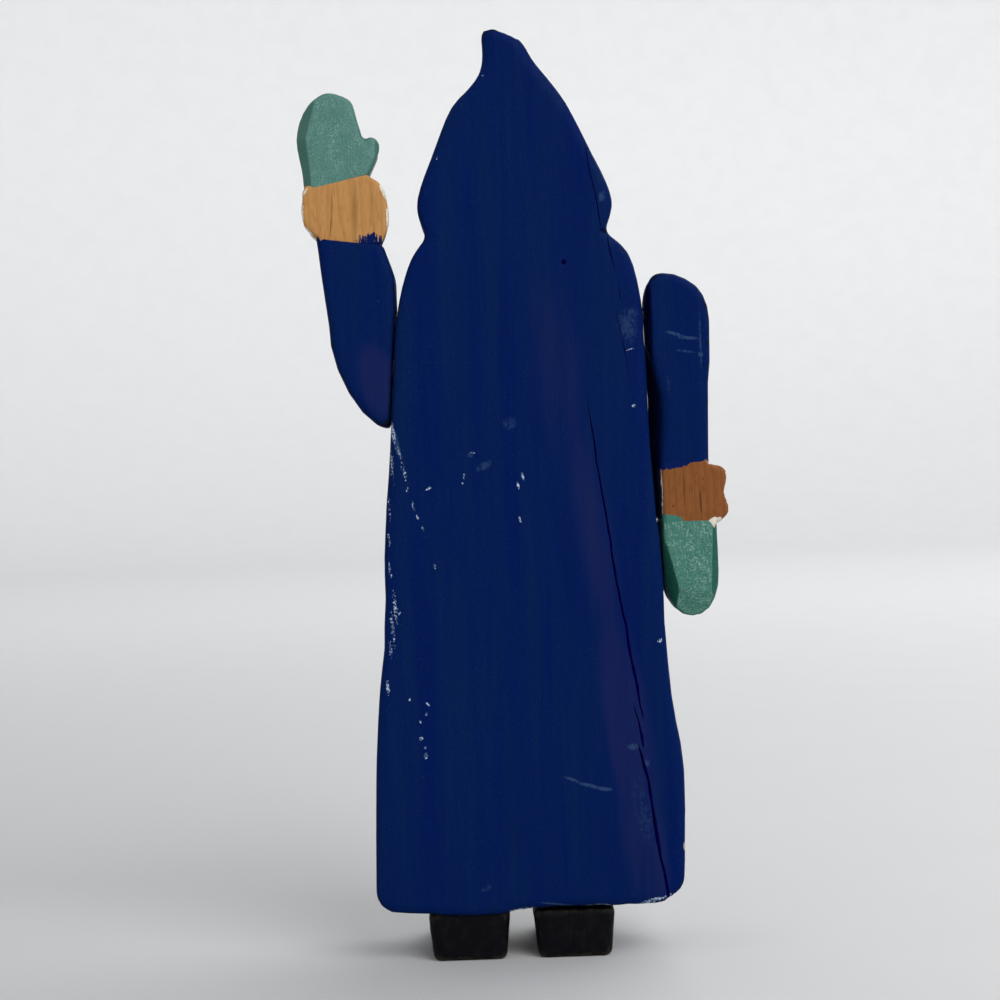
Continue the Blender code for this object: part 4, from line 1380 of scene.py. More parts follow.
@dataclass
class Robe:
    """The plank of hood and robe, with its fur bands. Lengths are in millimetres."""

    back: float = 26.0
    hem: float = 16.3
    fuller: tuple[Path, ...] = (
        (
            (88, 0.0), (96, -0.3), (103, -0.7), (110, -0.25), (119, -0.1), (127, 0.45),
            (133, 0.75), (150, 0.7), (158, 0.35), (170, 0.1), (184, 0.0), (262, 0.0), (276, 0.6),
            (286, 1.1), (300, 1.0),
        ),
        (
            (16, 0.9), (30, 0.7), (46, 0.3), (62, 0.0), (108, 0.0), (122, 0.75), (136, 0.85),
            (140.6, 0.6), (143, 0.35), (152, 0.5), (165, 0.4), (185, 0.3), (197, 0.0), (262, 0.0),
            (276, 0.5), (286, 1.1), (300, 1.1),
        ),
    )
    nail: Place = (-17.2, 226.9, 0.90)
    fold_width: float = 7.0
    fold_foot: float = 34.0
    hood_half: float = 3.25
    hem_middle: float = 24.3
    hem_half: float = 6.0
    front_half: float = 7.0
    hem_line: Path = (
        (-52, 1.9), (-46, 1.6), (-43, 0.8), (-37, 0.5), (-26, 0.3), (-16, 0.6), (-8, 0.6),
        (0, 0.3), (5.5, -0.2), (8.5, -1.2), (14, -1.5), (22, -1.5), (33, -0.7), (44, 0.2),
        (52, 0.5),
    )
    splits: tuple[Split, ...] = (
        Split(
            (
                (-23.3, 182.5, 0.05), (-24.2, 175.0, 0.45), (-25.4, 165.0, 0.6),
                (-27.0, 151.0, 0.75), (-30.1, 127.5, 0.9), (-32.4, 113.0, 0.95),
                (-34.3, 99.3, 1.15), (-36.2, 87.5, 1.2), (-36.9, 82.0, 0.6), (-37.5, 79.2, 0.55),
                (-38.0, 76.7, 0.06),
            ),
            2.2,
        ),
        Split(
            (
                (-34.6, 83.2, 0.05), (-35.7, 78.7, 0.45), (-36.9, 74.5, 0.7), (-37.4, 71.5, 1.2),
                (-37.7, 69.2, 0.9), (-37.9, 67.6, 0.06),
            ),
            1.8,
        ),
        Split(
            (
                (-36.1, 70.0, 0.06), (-36.6, 67.3, 0.6), (-37.2, 65.0, 1.0), (-38.9, 56.5, 1.1),
                (-41.0, 39.6, 1.2), (-43.0, 27.0, 1.3), (-45.2, 12.0, 1.4),
            ),
            2.6,
        ),
        Split(((-25.2, 266.5, 0.3), (-27.6, 251.3, 0.42), (-29.6, 238.2, 0.45)), 1.6),
        Split(((-31.7, 235.5, 0.4), (-32.7, 228.7, 0.42), (-34.4, 221.5, 0.06)), 1.2),
        Split(((-34.8, 219.5, 0.05), (-35.2, 216.0, 0.35), (-35.7, 213.0, 0.05)), 0.8),
        Split(
            ((-33, 212.5, 0.05), (-34.6, 205, 0.34), (-36.3, 198, 0.30), (-37.2, 188.5, 0.04)), 0.8
        ),
    )
    folds: tuple[tuple[float, float, float, float, float], ...] = (
        (10.5, 170.0, 16.5, 2.3, -1.0), (15.5, 120.0, 24.5, 1.8, 1.2),
        (20.5, 180.0, 33.0, 2.6, -2.0), (27.5, 126.0, 40.5, 1.9, 1.6),
        (32.5, 178.0, 38.5, 1.2, -1.2),
    )
    marks: tuple[Mark, ...] = mark_all({
        Show.CHIP: (
            (40.3, 173.2, 0.9, 5.2, 8, 1.05), (38.9, 167.6, 0.9, 4.2, 20, 0.66),
            (37.2, 160.6, 1.0, 4.6, 12, 0.5), (36.2, 154.6, 0.6, 1.2, 0, 0.62),
            (34.6, 149.4, 0.6, 2.6, 14, 0.56), (33.2, 145.6, 0.6, 1.2, 15, 0.62),
            (31.6, 141.8, 0.6, 1.5, 15, 0.66), (28.2, 129.4, 0.6, 1.4, 10, 0.66),
            (41.0, 163.4, 0.85, 8.4, 3, 0.55), (42.3, 149.0, 0.75, 6.0, 4, 0.44),
            (42.8, 138.5, 0.7, 3.0, 4, 0.56), (42.8, 128.6, 0.7, 4.2, 4, 0.52),
            (41.5, 116.0, 0.9, 7.0, 4, 0.56), (42.6, 110.0, 0.9, 8.0, 4, 0.54),
            (43.4, 103.0, 0.9, 3.4, 4, 0.6), (40.2, 114.4, 0.5, 0.9, -25, 0.84),
            (44.8, 90.4, 0.7, 3.2, 5, 0.8), (29.2, 154.8, 1.35, 0.5, 25, 1.2),
            (17.7, 158.4, 0.5, 1.4, -8, 0.84), (18.2, 155.9, 0.5, 0.6, 0, 0.86),
            (14.4, 165.8, 1.2, 0.35, 0, 0.78), (-1.5, 157.6, 0.5, 1.7, 18, 1.1),
            (0.1, 154.6, 0.5, 1.6, 12, 1.1), (-0.1, 143.5, 0.45, 1.7, 8, 1.05),
            (37.8, 86.2, 0.45, 0.8, 0, 0.85), (32.0, 84.6, 0.55, 1.0, 30, 0.9),
            (32.7, 81.4, 0.6, 0.7, 0, 0.92), (34.5, 79.0, 0.5, 0.9, 0, 0.88),
            (34.6, 73.4, 0.75, 0.9, -30, 0.98), (33.4, 70.4, 0.55, 0.6, 0, 0.92),
            (33.2, 67.8, 0.85, 1.3, 0, 1.15), (-38.4, 179.3, 1.3, 0.75, -12, 0.8),
            (-38.0, 197.8, 1.9, 0.32, 17, 0.7), (-44.4, 19.4, 2.0, 1.0, 25, 0.85),
            (-20.0, 16.9, 7.5, 0.8, 2, 0.85, 25.0, 8.0),
            (-39.0, 18.0, 7.5, 1.1, 14, 0.85, 25.0, 8.0), (3.6, 16.6, 5.5, 0.8, 4, 0.9, 25.0, 8.0),
            (7.0, 288.6, 0.5, 0.45, 0, 0.75), (22.8, 262.2, 0.4, 0.8, 0, 0.6),
            (-44.4, 102.5, 1.2, 1.3, 0, 0.58),
        ),
        Show.SMUDGE: (
            (39.4, 170.5, 1.3, 8.5, 12, 1.2), (-37.4, 205.0, 5.2, 9.0, 6, 0.86),
            (-38.6, 209.5, 3.6, 3.2, 30, 0.8), (2.4, 175.0, 4.4, 4.6, 0, 0.72),
            (11.0, 161.5, 4.6, 2.0, 25, 0.95), (15.3, 165.4, 2.2, 1.8, 0, 0.85),
            (-14.2, 58.4, 4.6, 0.85, -22, 1.15), (-19.6, 56.3, 6.6, 0.9, -15, 1.25),
            (-24.6, 55.0, 3.4, 0.95, -8, 1.5), (-30.4, 248.0, 1.6, 2.8, -12, 1.1),
            (-38.6, 63.0, 1.4, 1.8, 0, 1.2), (-34.5, 68.5, 3.6, 1.6, 0, 1.1),
            (-37.0, 47.0, 7.0, 24.0, 8, 0.6), (15.0, 24.0, 3.0, 1.4, 30, 0.8),
            (-8.0, 18.0, 9.0, 0.5, -8, 1.4),
        ),
        Show.TINT: (
            (-13.0, 192.0, 12.0, 44.0, 4, 0.6), (-24.5, 138.0, 8.5, 46.0, 7, 0.85),
            (-33.0, 74.0, 9.5, 50.0, 7, 1.15), (-37.0, 36.0, 9.5, 32.0, 7, 1.0),
        ),
        Show.BARE: (
            (-42.9, 202.5, 0.7, 5.2, 1, 1.1, 24.0, 8.0),
            (-42.7, 213.0, 0.6, 3.4, 1, 1.05, 24.0, 8.0), (-50.2, 35.2, 0.9, 2.2, 4, 0.9, 25.0),
        ),
        # painted shade in the notch by the neck
        Show.SHADE: ((-30.9, 236.8, 2.4, 1.1, -20, 1.0),),
    })

    def build(self) -> None:
        """Carves and dresses the plank and the bands."""
        self.plank()
        self.hood_band()
        self.hem_band()
        self.front_band()

    def plank(self) -> None:
        """Carves the plank: a wandering hem, folds in front, knife cuts and the cracks behind."""
        plank = Carving("robe_body", "robe_plank", PLANK_MESH, 2)
        points = plank.points
        x, y, z = (points / MM).T
        rise = np.interp(x, *zip(*self.hem_line)) + 0.22 * ripple(points, 3.1 * MM, 2)
        low = ease(z, self.hem + 13, self.hem) * ease(y, -7, 10)
        points[:, 2] += rise * low * MM
        outward = np.sign(x) * ease(np.abs(plank.normals[:, 0]), 0.3, 0.8)
        fuller = np.where(x > 0, *(np.interp(z, *zip(*side)) for side in self.fuller))
        points[:, 0] += outward * (fuller + 0.10) * MM
        plank.points = points
        front = ease(y, self.back - 3.0, self.back - 7.0)
        plank.whittle(front, (5, 5, 15), 3, 0.30, (16, 0.05))
        self.round_over(plank, True, lambda x, z: 3.2 + 3.4 * ease(z, 36, 60) * ease(z, 300, 262))
        self.round_over(plank, False, lambda x, z: 1.2 + ease(x, 0, -30) * ease(z, 24, 40) * 1.0)
        folds = []
        for out, top, foot, depth, bow in self.folds:
            for side in (-1, 1):
                start = (side * out - 0.8, top + 3 * side)
                end = (side * foot - 0.8, self.fold_foot)
                folds.append(Groove(start, end, self.fold_width, depth, side * bow))
        plank.gouge(folds)
        # painted light: the walls of the splits and the nail hole get a navy brighter than the
        # robe's paint, to make up for the shade down in them
        inside = BareWood("split_navy_painted_light", (0.0008, 0.0016, 0.190), (0.0006, 0.0010, 0.110)).make()
        back = self.back * MM
        cutters = [one.cutter(f"split_{i}", back, inside) for i, one in enumerate(self.splits)]
        plank.split([*cutters, self.nail_cutter(inside)])
        plank.hand_over(Body.FIGURE, "blue_paint", BluePaint("robe_blue", self.marks), 50)

    def round_over(self, plank: Carving, front: bool, radius: Callable) -> None:
        """Rounds the outer edge of one face of the plank.

        Args:
            plank: the plank.
            front: whether it is the front's edge or the back's.
            radius: gives how far in the rounding starts, for x and z in millimetres.
        """
        points, normals = plank.points / MM, plank.normals
        way = -1 if front else 1
        face = (way * points[:, 1]).max()
        wall = (np.abs(normals[:, 1]) < 0.4) & (way * points[:, 1] > face - 4.5)
        outline = points[wall]
        tree = KDTree(len(outline))
        for i, (x, _, z) in enumerate(outline):
            tree.insert((x, 0.0, z), i)
        tree.balance()
        rows = np.flatnonzero(way * points[:, 1] > face - 7)
        gap = np.array([tree.find((x, 0.0, z))[2] for x, _, z in points[rows]])
        reach = radius(points[rows, 0], points[rows, 2])
        inside = np.clip(reach - gap, 0, None)
        drop = 0.8 * (reach - np.sqrt(np.clip(reach**2 - inside**2, 0, None)))
        proud = np.clip(way * points[rows, 1] - face + drop, 0, None)
        points[rows, 1] -= way * 0.96 * np.where(drop > 0.001, proud, 0)
        plank.points = points * MM

    def nail_cutter(self, inside: bpy.types.Material) -> bpy.types.Object:
        """Makes the cutter for the old nail hole.

        Args:
            inside: the finish of the hole's wall.

        Returns:
            The cutter.
        """
        x, z, radius = self.nail
        turn = np.linspace(0, 2 * np.pi, 12, endpoint=False)
        ring = np.stack([np.cos(turn), np.sin(turn), 0 * turn], axis=1)
        uneven = 1 + 0.12 * ripple(ring, 0.9, 9)
        rings = np.empty((4, 12, 3))
        for i, (out, share) in enumerate(((0.4, 1.35), (0.0, 1.2), (-0.5, 0.85), (-3.0, 0.55))):
            rings[i, :, 0] = x + share * radius * uneven * np.cos(turn)
            rings[i, :, 1] = self.back + out
            rings[i, :, 2] = z + share * radius * uneven * np.sin(turn)
        cutter = sleeve_of_rings("nail_cutter", rings * MM)
        cutter.data.materials.append(inside)
        return cutter

    def hood_band(self) -> None:
        """Carves the ring of fur round the face."""
        band = Carving("hood_trim", "hood_fur", FUR_MESH)
        low, high = (np.array(corner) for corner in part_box("hood_trim"))
        radius = (high[0] - low[0]) / 2
        points = band.points
        away = np.hypot(points[:, 0] - (low[0] + high[0]) / 2, points[:, 2] - high[2] + radius)
        across = (away - radius + self.hood_half * MM) / (self.hood_half * MM)
        end = np.clip((points[:, 2] - low[2]) / (2.6 * MM), 0, 1)
        self.tuft(band, dome(across, 0.42) * dome(1 - end, 0.45, 1.0), 3.6)

    def hem_band(self) -> None:
        """Carves the fur along the hem's front."""
        band = Carving("hem_trim", "hem_fur", FUR_MESH)
        z = band.points[:, 2] / MM
        self.tuft(band, dome((z - self.hem_middle) / self.hem_half, 0.45), 3.8)

    def front_band(self) -> None:
        """Carves the fur down the front."""
        band = Carving("front_trim", "front_fur", FUR_MESH)
        low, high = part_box("front_trim")
        across = (band.points[:, 0] - (low.x + high.x) / 2) / (self.front_half * MM)
        self.tuft(band, dome(across, 0.45), 3.8)

    def tuft(self, band: Carving, share: np.ndarray, size: float) -> None:
        """Rounds a band, carves it into tufts and dresses it.

        Args:
            band: the band.
            share: how thick it stays at each point.
            size: about how wide a tuft is, in millimetres.
        """
        band.thin(share)
        points = band.points
        front = ease(band.normals[:, 1], 0.3, -0.1)
        between, curl = curls(points, size * MM, 21)
        band.lower(front * (1.15 * between + 0.42 * curl) * MM)
        band.hand_over(Body.FIGURE, "white_paint", FurPaint(band.piece.name + "_paint"))


# Head
@dataclass
class Head:
    """The carved face, nose, moustache and beard. Lengths are in millimetres."""

    x: float = -1.9
    z: float = 249.7
    radius: float = 17.5
    eye: Pair = (6.1, 4.9)
    lip: Bead = Bead(
        ((-4.2, -11.9), (-2.0, -12.8), (0.0, -13.1), (2.0, -12.8), (4.2, -11.9)), -18.0, 1.3, 1.3
    )
    upper_lid: Bead = Bead(
        ((-3.2, -0.3), (-1.6, 1.5), (0.3, 2.0), (2.2, 1.2), (3.4, -0.6)), -15.9, 0.62, 0.75
    )
    lower_lid: Bead = Bead(((-2.9, -0.5), (-0.2, -1.75), (3.0, -0.7)), -15.6, 0.45, 0.6)
    ball: Bead = Bead(((-2.7, -0.1), (0.0, 0.1), (2.7, -0.15)), -15.1, 1.55, 1.25)
    brow: Bead = Bead(((-4.0, 3.3), (-1.5, 4.9), (1.5, 5.2), (4.6, 3.0)), -16.6, 1.25, 1.1, 6)
    nose_half: float = 4.75
    beard_half: float = 22.0
    moustache_half: Pair = (17.0, 4.25)
    beard_reach: Path = (
        (0.0, 0.92), (0.14, 1.0), (0.34, 0.94), (0.58, 0.7), (0.8, 0.42), (1.0, 0.1),
    )

    def build(self) -> None:
        """Carves and dresses the head's pieces."""
        self.face()
        self.nose()
        self.beard()
        self.moustache()
        for side, label in ((1, "left"), (-1, "right")):
            self.eye_and_brow(side, label)
        self.bead("lower_lip", self.lip, SkinPaint("lip_paint", (), (0.46, 0.13, 0.10)))

    def face(self) -> None:
        """Carves cheeks, brow and eye hollows into the face."""
        face = Carving("face", "face_carving", FACE_MESH)
        points = face.points
        u = (points[:, 0] / MM - self.x) / self.radius
        w = (points[:, 2] / MM - self.z) / self.radius
        side = np.abs(u)
        relief = 4.55 - 2.1 * (u**2 + 0.7 * w**2)
        relief += 0.95 * hill(side, 0.50, 0.24) * hill(w, -0.16, 0.26)
        relief += 0.75 * hill(w + 0.22 * side**2, 0.56, 0.13) * hill(side, 0.30, 0.34)
        relief -= 1.35 * hill(side, 0.36, 0.17) * hill(w, 0.28, 0.13)
        relief -= 0.55 * hill(side, 0.20, 0.07) * hill(w, -0.25, 0.22)
        relief += 0.70 * hill(side, 0.0, 0.13) * ease(w, -0.5, 0.1) * ease(w, 0.55, 0.3)
        face.thin(np.clip(relief, 1.6, 5.2) / 5.0)
        front = ease(face.normals[:, 1], 0.0, -0.4)
        face.lower(front * 0.10 * scallops(face.points, 2.6 * MM, 31) * MM)
        cheeks = tuple(
            Mark(Show.TINT, self.x + out, self.z - 1.6, 6.2, 5.2, y=-16.5) for out in (9.4, -9.4)
        )
        face.hand_over(Body.FIGURE, "face_paint", SkinPaint("skin", cheeks))

    def nose(self) -> None:
        """Carves a round nose with two wings."""
        nose = Carving("nose", "nose_carving", NOSE_MESH, 4)
        points = nose.points
        low, high = in_mm(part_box("nose"))
        up = (points[:, 2] / MM - low[2]) / (high[2] - low[2])
        side = np.abs(points[:, 0] / MM - self.x) / self.nose_half
        slim = 1 - 0.34 * ease(up, 0.35, 1.0)
        points[:, 0] = self.x * MM + (points[:, 0] - self.x * MM) * slim
        nose.points = points
        nose.thin(1 - 0.30 * ease(up, 0.45, 1.0))
        nose.lower(0.55 * hill(side, 0.55, 0.14) * hill(up, 0.35, 0.22) * MM)
        blush = (Mark(Show.TINT, self.x, self.z - 1.5, 5.0, 4.5, y=-22.0),)
        nose.hand_over(Body.FIGURE, "nose_paint", SkinPaint("nose_skin", blush))

    def strands(
        self, across: np.ndarray, along: np.ndarray, count: float, sway: float, seed: int
    ) -> np.ndarray:
        """How deep the cuts between strands of hair are.

        Args:
            across: from -1 to 1 over the hair.
            along: from 0 at its root to 1 at its tip.
            count: how many strands lie side by side.
            sway: how far the strands swing.
            seed: which set of uneven waves.

        Returns:
            0 on a strand, up to 1 in a cut.
        """
        rows = np.stack([across * 2.2, np.zeros(len(across)), along * 3.0], axis=1)
        swing = sway * np.sin(2 * np.pi * (1.6 * along + 0.22 * across) + 0.6)
        phase = np.pi * count / 2 * (across + 0.12 * swing + 0.10 * ripple(rows, 1.0, seed))
        return 1 - np.abs(np.sin(phase)) ** 0.75

    def beard(self) -> None:
        """Carves the beard into waving locks."""
        beard = Carving("beard", "beard_carving", BEARD_MESH)
        low, high = in_mm(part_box("beard"))
        points = beard.points
        along = np.clip((high[2] - points[:, 2] / MM) / (high[2] - low[2]), 0, 1)
        reach = self.beard_half * np.interp(along, *zip(*self.beard_reach))
        across = (points[:, 0] / MM - self.x) / reach
        across = np.clip(across, -1.05, 1.05)
        full = dome(across, 0.50, 0.90) * (1 - 0.32 * ease(along, 0.55, 1.0))
        locks = self.strands(across, along, 9.0, 1.0, 41)
        hairs = self.strands(across, along, 27.0, 1.6, 42)
        share = full - 0.27 * locks * ease(along, -0.05, 0.12) - 0.075 * hairs
        beard.thin(np.clip(share, 0.16, 1.0))
        rim = ease(np.abs(beard.normals[:, 1]), 0.75, 0.35)
        beard.lower(rim * 0.35 * locks * MM)
        beard.hand_over(Body.FIGURE, "white_paint", FurPaint("beard_paint"))

    def moustache(self) -> None:
        """Carves the moustache into two swept halves."""
        hair = Carving("moustache", "moustache_carving", MOUSTACHE_MESH)
        points = hair.points
        low, high = in_mm(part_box("moustache"))
        side = np.abs(points[:, 0] / MM - self.x) / self.moustache_half[0]
        rise = (points[:, 2] / MM - (low[2] + high[2]) / 2) / self.moustache_half[1]
        middle = np.interp(side, (0, 0.3, 0.72, 1.0), (0.0, 0.07, -0.14, -0.40))
        reach = np.interp(side, (0, 0.3, 0.72, 1.0), (0.24, 0.46, 0.36, 0.06)) * 2
        across = np.clip((rise - middle * 2) / reach, -1.05, 1.05)
        parted = 1 - 0.55 * hill(side, 0.0, 0.055) - 0.25 * ease(side, 0.6, 1.0)
        full = dome(across, 0.40, 0.92) * parted
        locks = self.strands(across, side, 5.0, 1.2, 43)
        hairs = self.strands(across, side, 13.0, 1.5, 44)
        hair.thin(np.clip(full - 0.20 * locks - 0.07 * hairs, 0.16, 1.0))
        hair.hand_over(Body.FIGURE, "white_paint", FurPaint("moustache_paint"))

    def bead(self, name: str, bead: Bead, paint: Paint, slot: str = "face_paint") -> None:
        """Places a small strip by the middle of the face.

        Args:
            name: the piece's name.
            bead: the strip, as seen from the middle of the face.
            paint: its finish.
            slot: the slot's name, passed on with the piece.
        """
        path = tuple((self.x + x, self.z + z) for x, z in bead.path)
        piece = replace(bead, path=path).make(name)
        piece.data.materials.append(paint.make())
        hand_over(piece, Body.FIGURE, slot)

    def eye_and_brow(self, side: int, label: str) -> None:
        """Adds an eye, its lids and its brow.

        Args:
            side: 1 for the figure's left, -1 for its right.
            label: the same in words, for the pieces' names.
        """
        x, z = self.eye

        def beside(bead: Bead) -> Bead:
            """Turns a strip seen from the eye's middle into one seen from the face's middle."""
            return replace(bead, path=tuple((side * (x + dx), z + dz) for dx, dz in bead.path))

        paint = EyePaint(label + "_eye_paint", self.x + side * (x - 0.1), self.z + z)
        self.bead(label + "_eye", beside(self.ball), paint)
        skin = SkinPaint(label + "_lid_paint", (), (0.50, 0.27, 0.18))
        self.bead(label + "_upper_lid", beside(self.upper_lid), skin)
        self.bead(label + "_lower_lid", beside(self.lower_lid), skin)
        hair = FurPaint(label + "_brow_paint")
        self.bead(label + "_brow", beside(self.brow), hair, "white_paint")


# Arms
@dataclass
class Arm:
    """Sleeve, cuff and mitten of one arm. Lengths are in millimetres.

    Attributes:
        side: left or right, for the names of its solids and pieces.
        body: the body it rides on.
        sleeve_cuts: flat cuts on the sleeve.
        mitten_cuts: flat cuts on the mitten.
        grooves: gouged lines on the sleeve's front.
        crease: gouged lines on the mitten's front.
        sleeve_marks: spots on the sleeve's paint.
        cuff: the cuff's finish.
        mitten: the mitten's finish.
        ends: the ways from the cuff to the mitten and to the sleeve.
        fuller: how much fuller than its solid each piece is, towards the robe and away from it.
        lean: how far the side towards the robe leans in, on the cuff and on the mitten.
        drawn: how far the cuff's back is drawn out over the mitten and over the sleeve.
        lobe: where the cuff's fur hangs over the mitten along X, and how far.
        overlap: how far sleeve and mitten are drawn into the cuff.
    """

    side: str
    body: Body
    cuff: CuffPaint
    mitten: MittenPaint
    ends: tuple[Place, ...]
    fuller: Mapping[str, tuple[Heights, Heights]]
    lean: Pair = (0.0, 0.0)
    drawn: Pair = (2.3, 2.3)
    lobe: Pair = (0.0, 0.0)
    overlap: float = 2.3
    sleeve_cuts: tuple[Slice, ...] = ()
    mitten_cuts: tuple[Slice, ...] = ()
    grooves: tuple[Groove, ...] = ()
    crease: tuple[Groove, ...] = ()
    sleeve_marks: tuple[Mark, ...] = ()

    @property
    def inward(self) -> int:
        """The way to the robe along X."""
        return -1 if self.side == "left" else 1

    def build(self) -> None:
        """Carves and dresses the arm's three pieces."""
        self.carve_sleeve()
        self.carve_cuff()
        self.carve_mitten()

    def start(self, part: str, square: float, relax: int, cuts: Sequence[Slice] = ()) -> Carving:
        """Copies one of the arm's solids, ready to be carved."""
        node = f"{self.side}_{part}"
        return Carving(node, node + "_carving", square, relax, cuts)

    def mouth(self, neighbour: str, way: Sequence[float]) -> Pair:
        """Finds where a neighbour's end at the cuff starts and stops.

        Args:
            neighbour: mitten or sleeve.
            way: the way from the cuff to it.

        Returns:
            Both places along X, in millimetres.
        """
        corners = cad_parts[f"{self.side}_{neighbour}"].data.vertices
        places = np.array([corner.co[:] for corner in corners]) / MM
        along = places @ np.asarray(way)
        x = places[along < along.min() + 5.0, 0]
        return x.min(), x.max()

    def fill_out(self, piece: Carving, name: str) -> None:
        """Makes both sides of a piece fuller, as the arm's table says."""
        for way, table in zip((self.inward, -self.inward), self.fuller[name]):
            piece.widen(way, table)

    def carve_sleeve(self) -> None:
        """Carves the blue sleeve."""
        sleeve = self.start("sleeve", KNIFE_MESH, 3, self.sleeve_cuts)
        front = ease(sleeve.points[:, 1] / MM, 22.5, 18.0)
        sleeve.whittle(front, (4, 4, 12), 51, 0.32, (9, 0.03))
        sleeve.gouge(self.grooves)
        sleeve.meet(self.ends[0], self.overlap)
        self.fill_out(sleeve, "sleeve")
        paint = BluePaint(f"{self.side}_sleeve_blue", self.sleeve_marks)
        sleeve.hand_over(self.body, "blue_paint", paint)

    def carve_cuff(self) -> None:
        """Carves the cuff: fur in front and at its sides, flat sawn wood behind."""
        cuff = self.start("cuff", FUR_MESH, 2)
        points = cuff.points
        y = points[:, 1] / MM
        front = ease(y, 23.6, 20.5)
        front = front * (1 - ease(np.abs(cuff.normals[:, 2]), 0.5, 0.85))
        sideways = cuff.normals[:, 0] * self.inward
        front = front * (1 - 0.45 * ease(-sideways, 0.4, 0.9) - 0.75 * ease(sideways, 0.4, 0.9))
        between, curl = curls(points, 3.6 * MM, 53)
        rim = ease(y, 25.0, 24.2)
        torn = 0.10 * (1 + ripple(points, 0.9 * MM, 55))
        torn += 0.06 * (1 + ripple(points, 2.0 * MM, 56))
        cuff.lower((front * (0.95 * between + 0.36 * curl) + rim * torn) * MM)
        for way, drawn, neighbour in zip(self.ends, self.drawn, ("mitten", "sleeve")):
            cuff.meet(way, drawn, self.mouth(neighbour, way), 22.0)
        points = cuff.points
        x, _, z = (points / MM).T
        foot = z.min()
        lobe = self.lobe[1] * hill(x, self.lobe[0], 2.3) * ease(z, foot + 6, foot + 1)
        points[:, 2] -= lobe * MM
        cuff.points = points
        self.fill_out(cuff, "cuff")
        cuff.lean(self.inward, self.lean[0])
        cuff.hand_over(self.body, f"{self.side}_cuff_wood", self.cuff)

    def carve_mitten(self) -> None:
        """Carves the mitten with its flat knife cuts."""
        mitten = self.start("mitten", MITTEN_MESH, 2, self.mitten_cuts)
        front = ease(mitten.points[:, 1] / MM, 23.5, 19.0)
        mitten.whittle(front, (3.2, 3.2, 6.5), 57, 0.30, (3, 0.04))
        mitten.gouge(self.crease)
        mitten.meet(self.ends[1], self.overlap)
        self.fill_out(mitten, "mitten")
        mitten.lean(self.inward, self.lean[1])
        mitten.hand_over(self.body, f"{self.side}_mitten_green", self.mitten)


def raised_arm() -> Arm:
    """Describes the figure's left arm.

    Returns:
        The arm, with a broad mitten and tan cuff.
    """
    return Arm(
        side="left",
        body=Body.LEFT_ARM,
        cuff=CuffPaint(
            "left_cuff_pine",
            (0.450, 0.232, 0.080),
            (0.310, 0.135, 0.038),
            mark_all({
                Show.BARE: (
                    (57.8, 246.0, 0.55, 14.0, -3, 0.6), (58.2, 242.0, 0.3, 5.0, -6, 0.95),
                    (50.2, 246.0, 1.4, 16.0, -1, 0.62), (53.8, 250.0, 0.3, 6.0, -2, 0.35),
                    (44.2, 245.0, 3.4, 14.0, 0, 0.34),
                ),
                Show.SMUDGE: ((45.6, 235.2, 6.0, 4.2, 0, 1.05, 24.0, 8.0),),
                Show.CHIP: (
                    (40.9, 252.8, 1.05, 5.2, 17, 0.9), (39.1, 242.5, 1.35, 8.0, 1, 1.0),
                    (67.9, 246.0, 1.3, 9.0, 0, 0.95), (65.2, 238.8, 1.25, 5.2, 37, 1.1),
                    (66.3, 252.8, 0.7, 2.6, -40, 0.8),
                ),
            }),
        ),
        mitten=MittenPaint(
            "left_mitten_teal",
            (0.076, 0.188, 0.160),
            (0.044, 0.124, 0.102),
            (0.150, 0.285, 0.255),
            0.60,
            0.12,
        ),
        ends=((0.13, 0.0, 0.99), (0.0, 0.0, -1.0)),
        fuller={
            "sleeve": (((213, 0.0), (223, 1.1)), ((178, 0.0), (190, 0.2), (210, 0.4), (226, 0.8))),
            "cuff": (((236, 1.3), (252, 1.3), (257, 1.0)), ((236, 0.45), (257, 0.45))),
            "mitten": (((268, 1.3), (276, 0.4)), ((255, 0.1), (285, 0.1))),
        },
        lean=(0.10, 0.10),
        drawn=(1.1, 2.0),
        mitten_cuts=(
            Slice((65.3, 25.0, 270.2), (0.62, 0.78, 0.178)),
            Slice((65.3, 25.0, 270.2), (0.62, 0.78, -0.063)),
            Slice((44.6, 25.0, 262.0), (-0.55, 0.84, 0.0)),
            Slice((62.0, 6.0, 268.0), (0.62, -0.78, 0.08)),
            Slice((47.0, 6.0, 270.0), (-0.60, -0.80, 0.05)),
            Slice((55.0, 6.0, 281.0), (0.05, -0.75, 0.66)),
        ),
        sleeve_cuts=(
            Slice((60.0, 6.0, 215.0), (0.70, -0.70, 0.0)),
            Slice((50.0, 6.0, 178.0), (0.35, -0.66, -0.66)),
        ),
        grooves=(
            Groove((42.0, 190.0), (52.0, 186.0), 1.4, 0.9),
            Groove((41.5, 199.0), (50.5, 193.5), 1.3, 0.7),
            Groove((47.0, 226.0), (50.0, 205.0), 1.6, 0.6),
        ),
        crease=(Groove((46.6, 259.0), (49.0, 269.0), 1.1, 0.9),),
        sleeve_marks=mark_all({
            Show.TINT: ((44.0, 190.0, 9.0, 16.0, 20, 1.3),),
            Show.SMUDGE: ((46.0, 205.0, 5.0, 12.0, 8, 0.45),),
        }),
    )


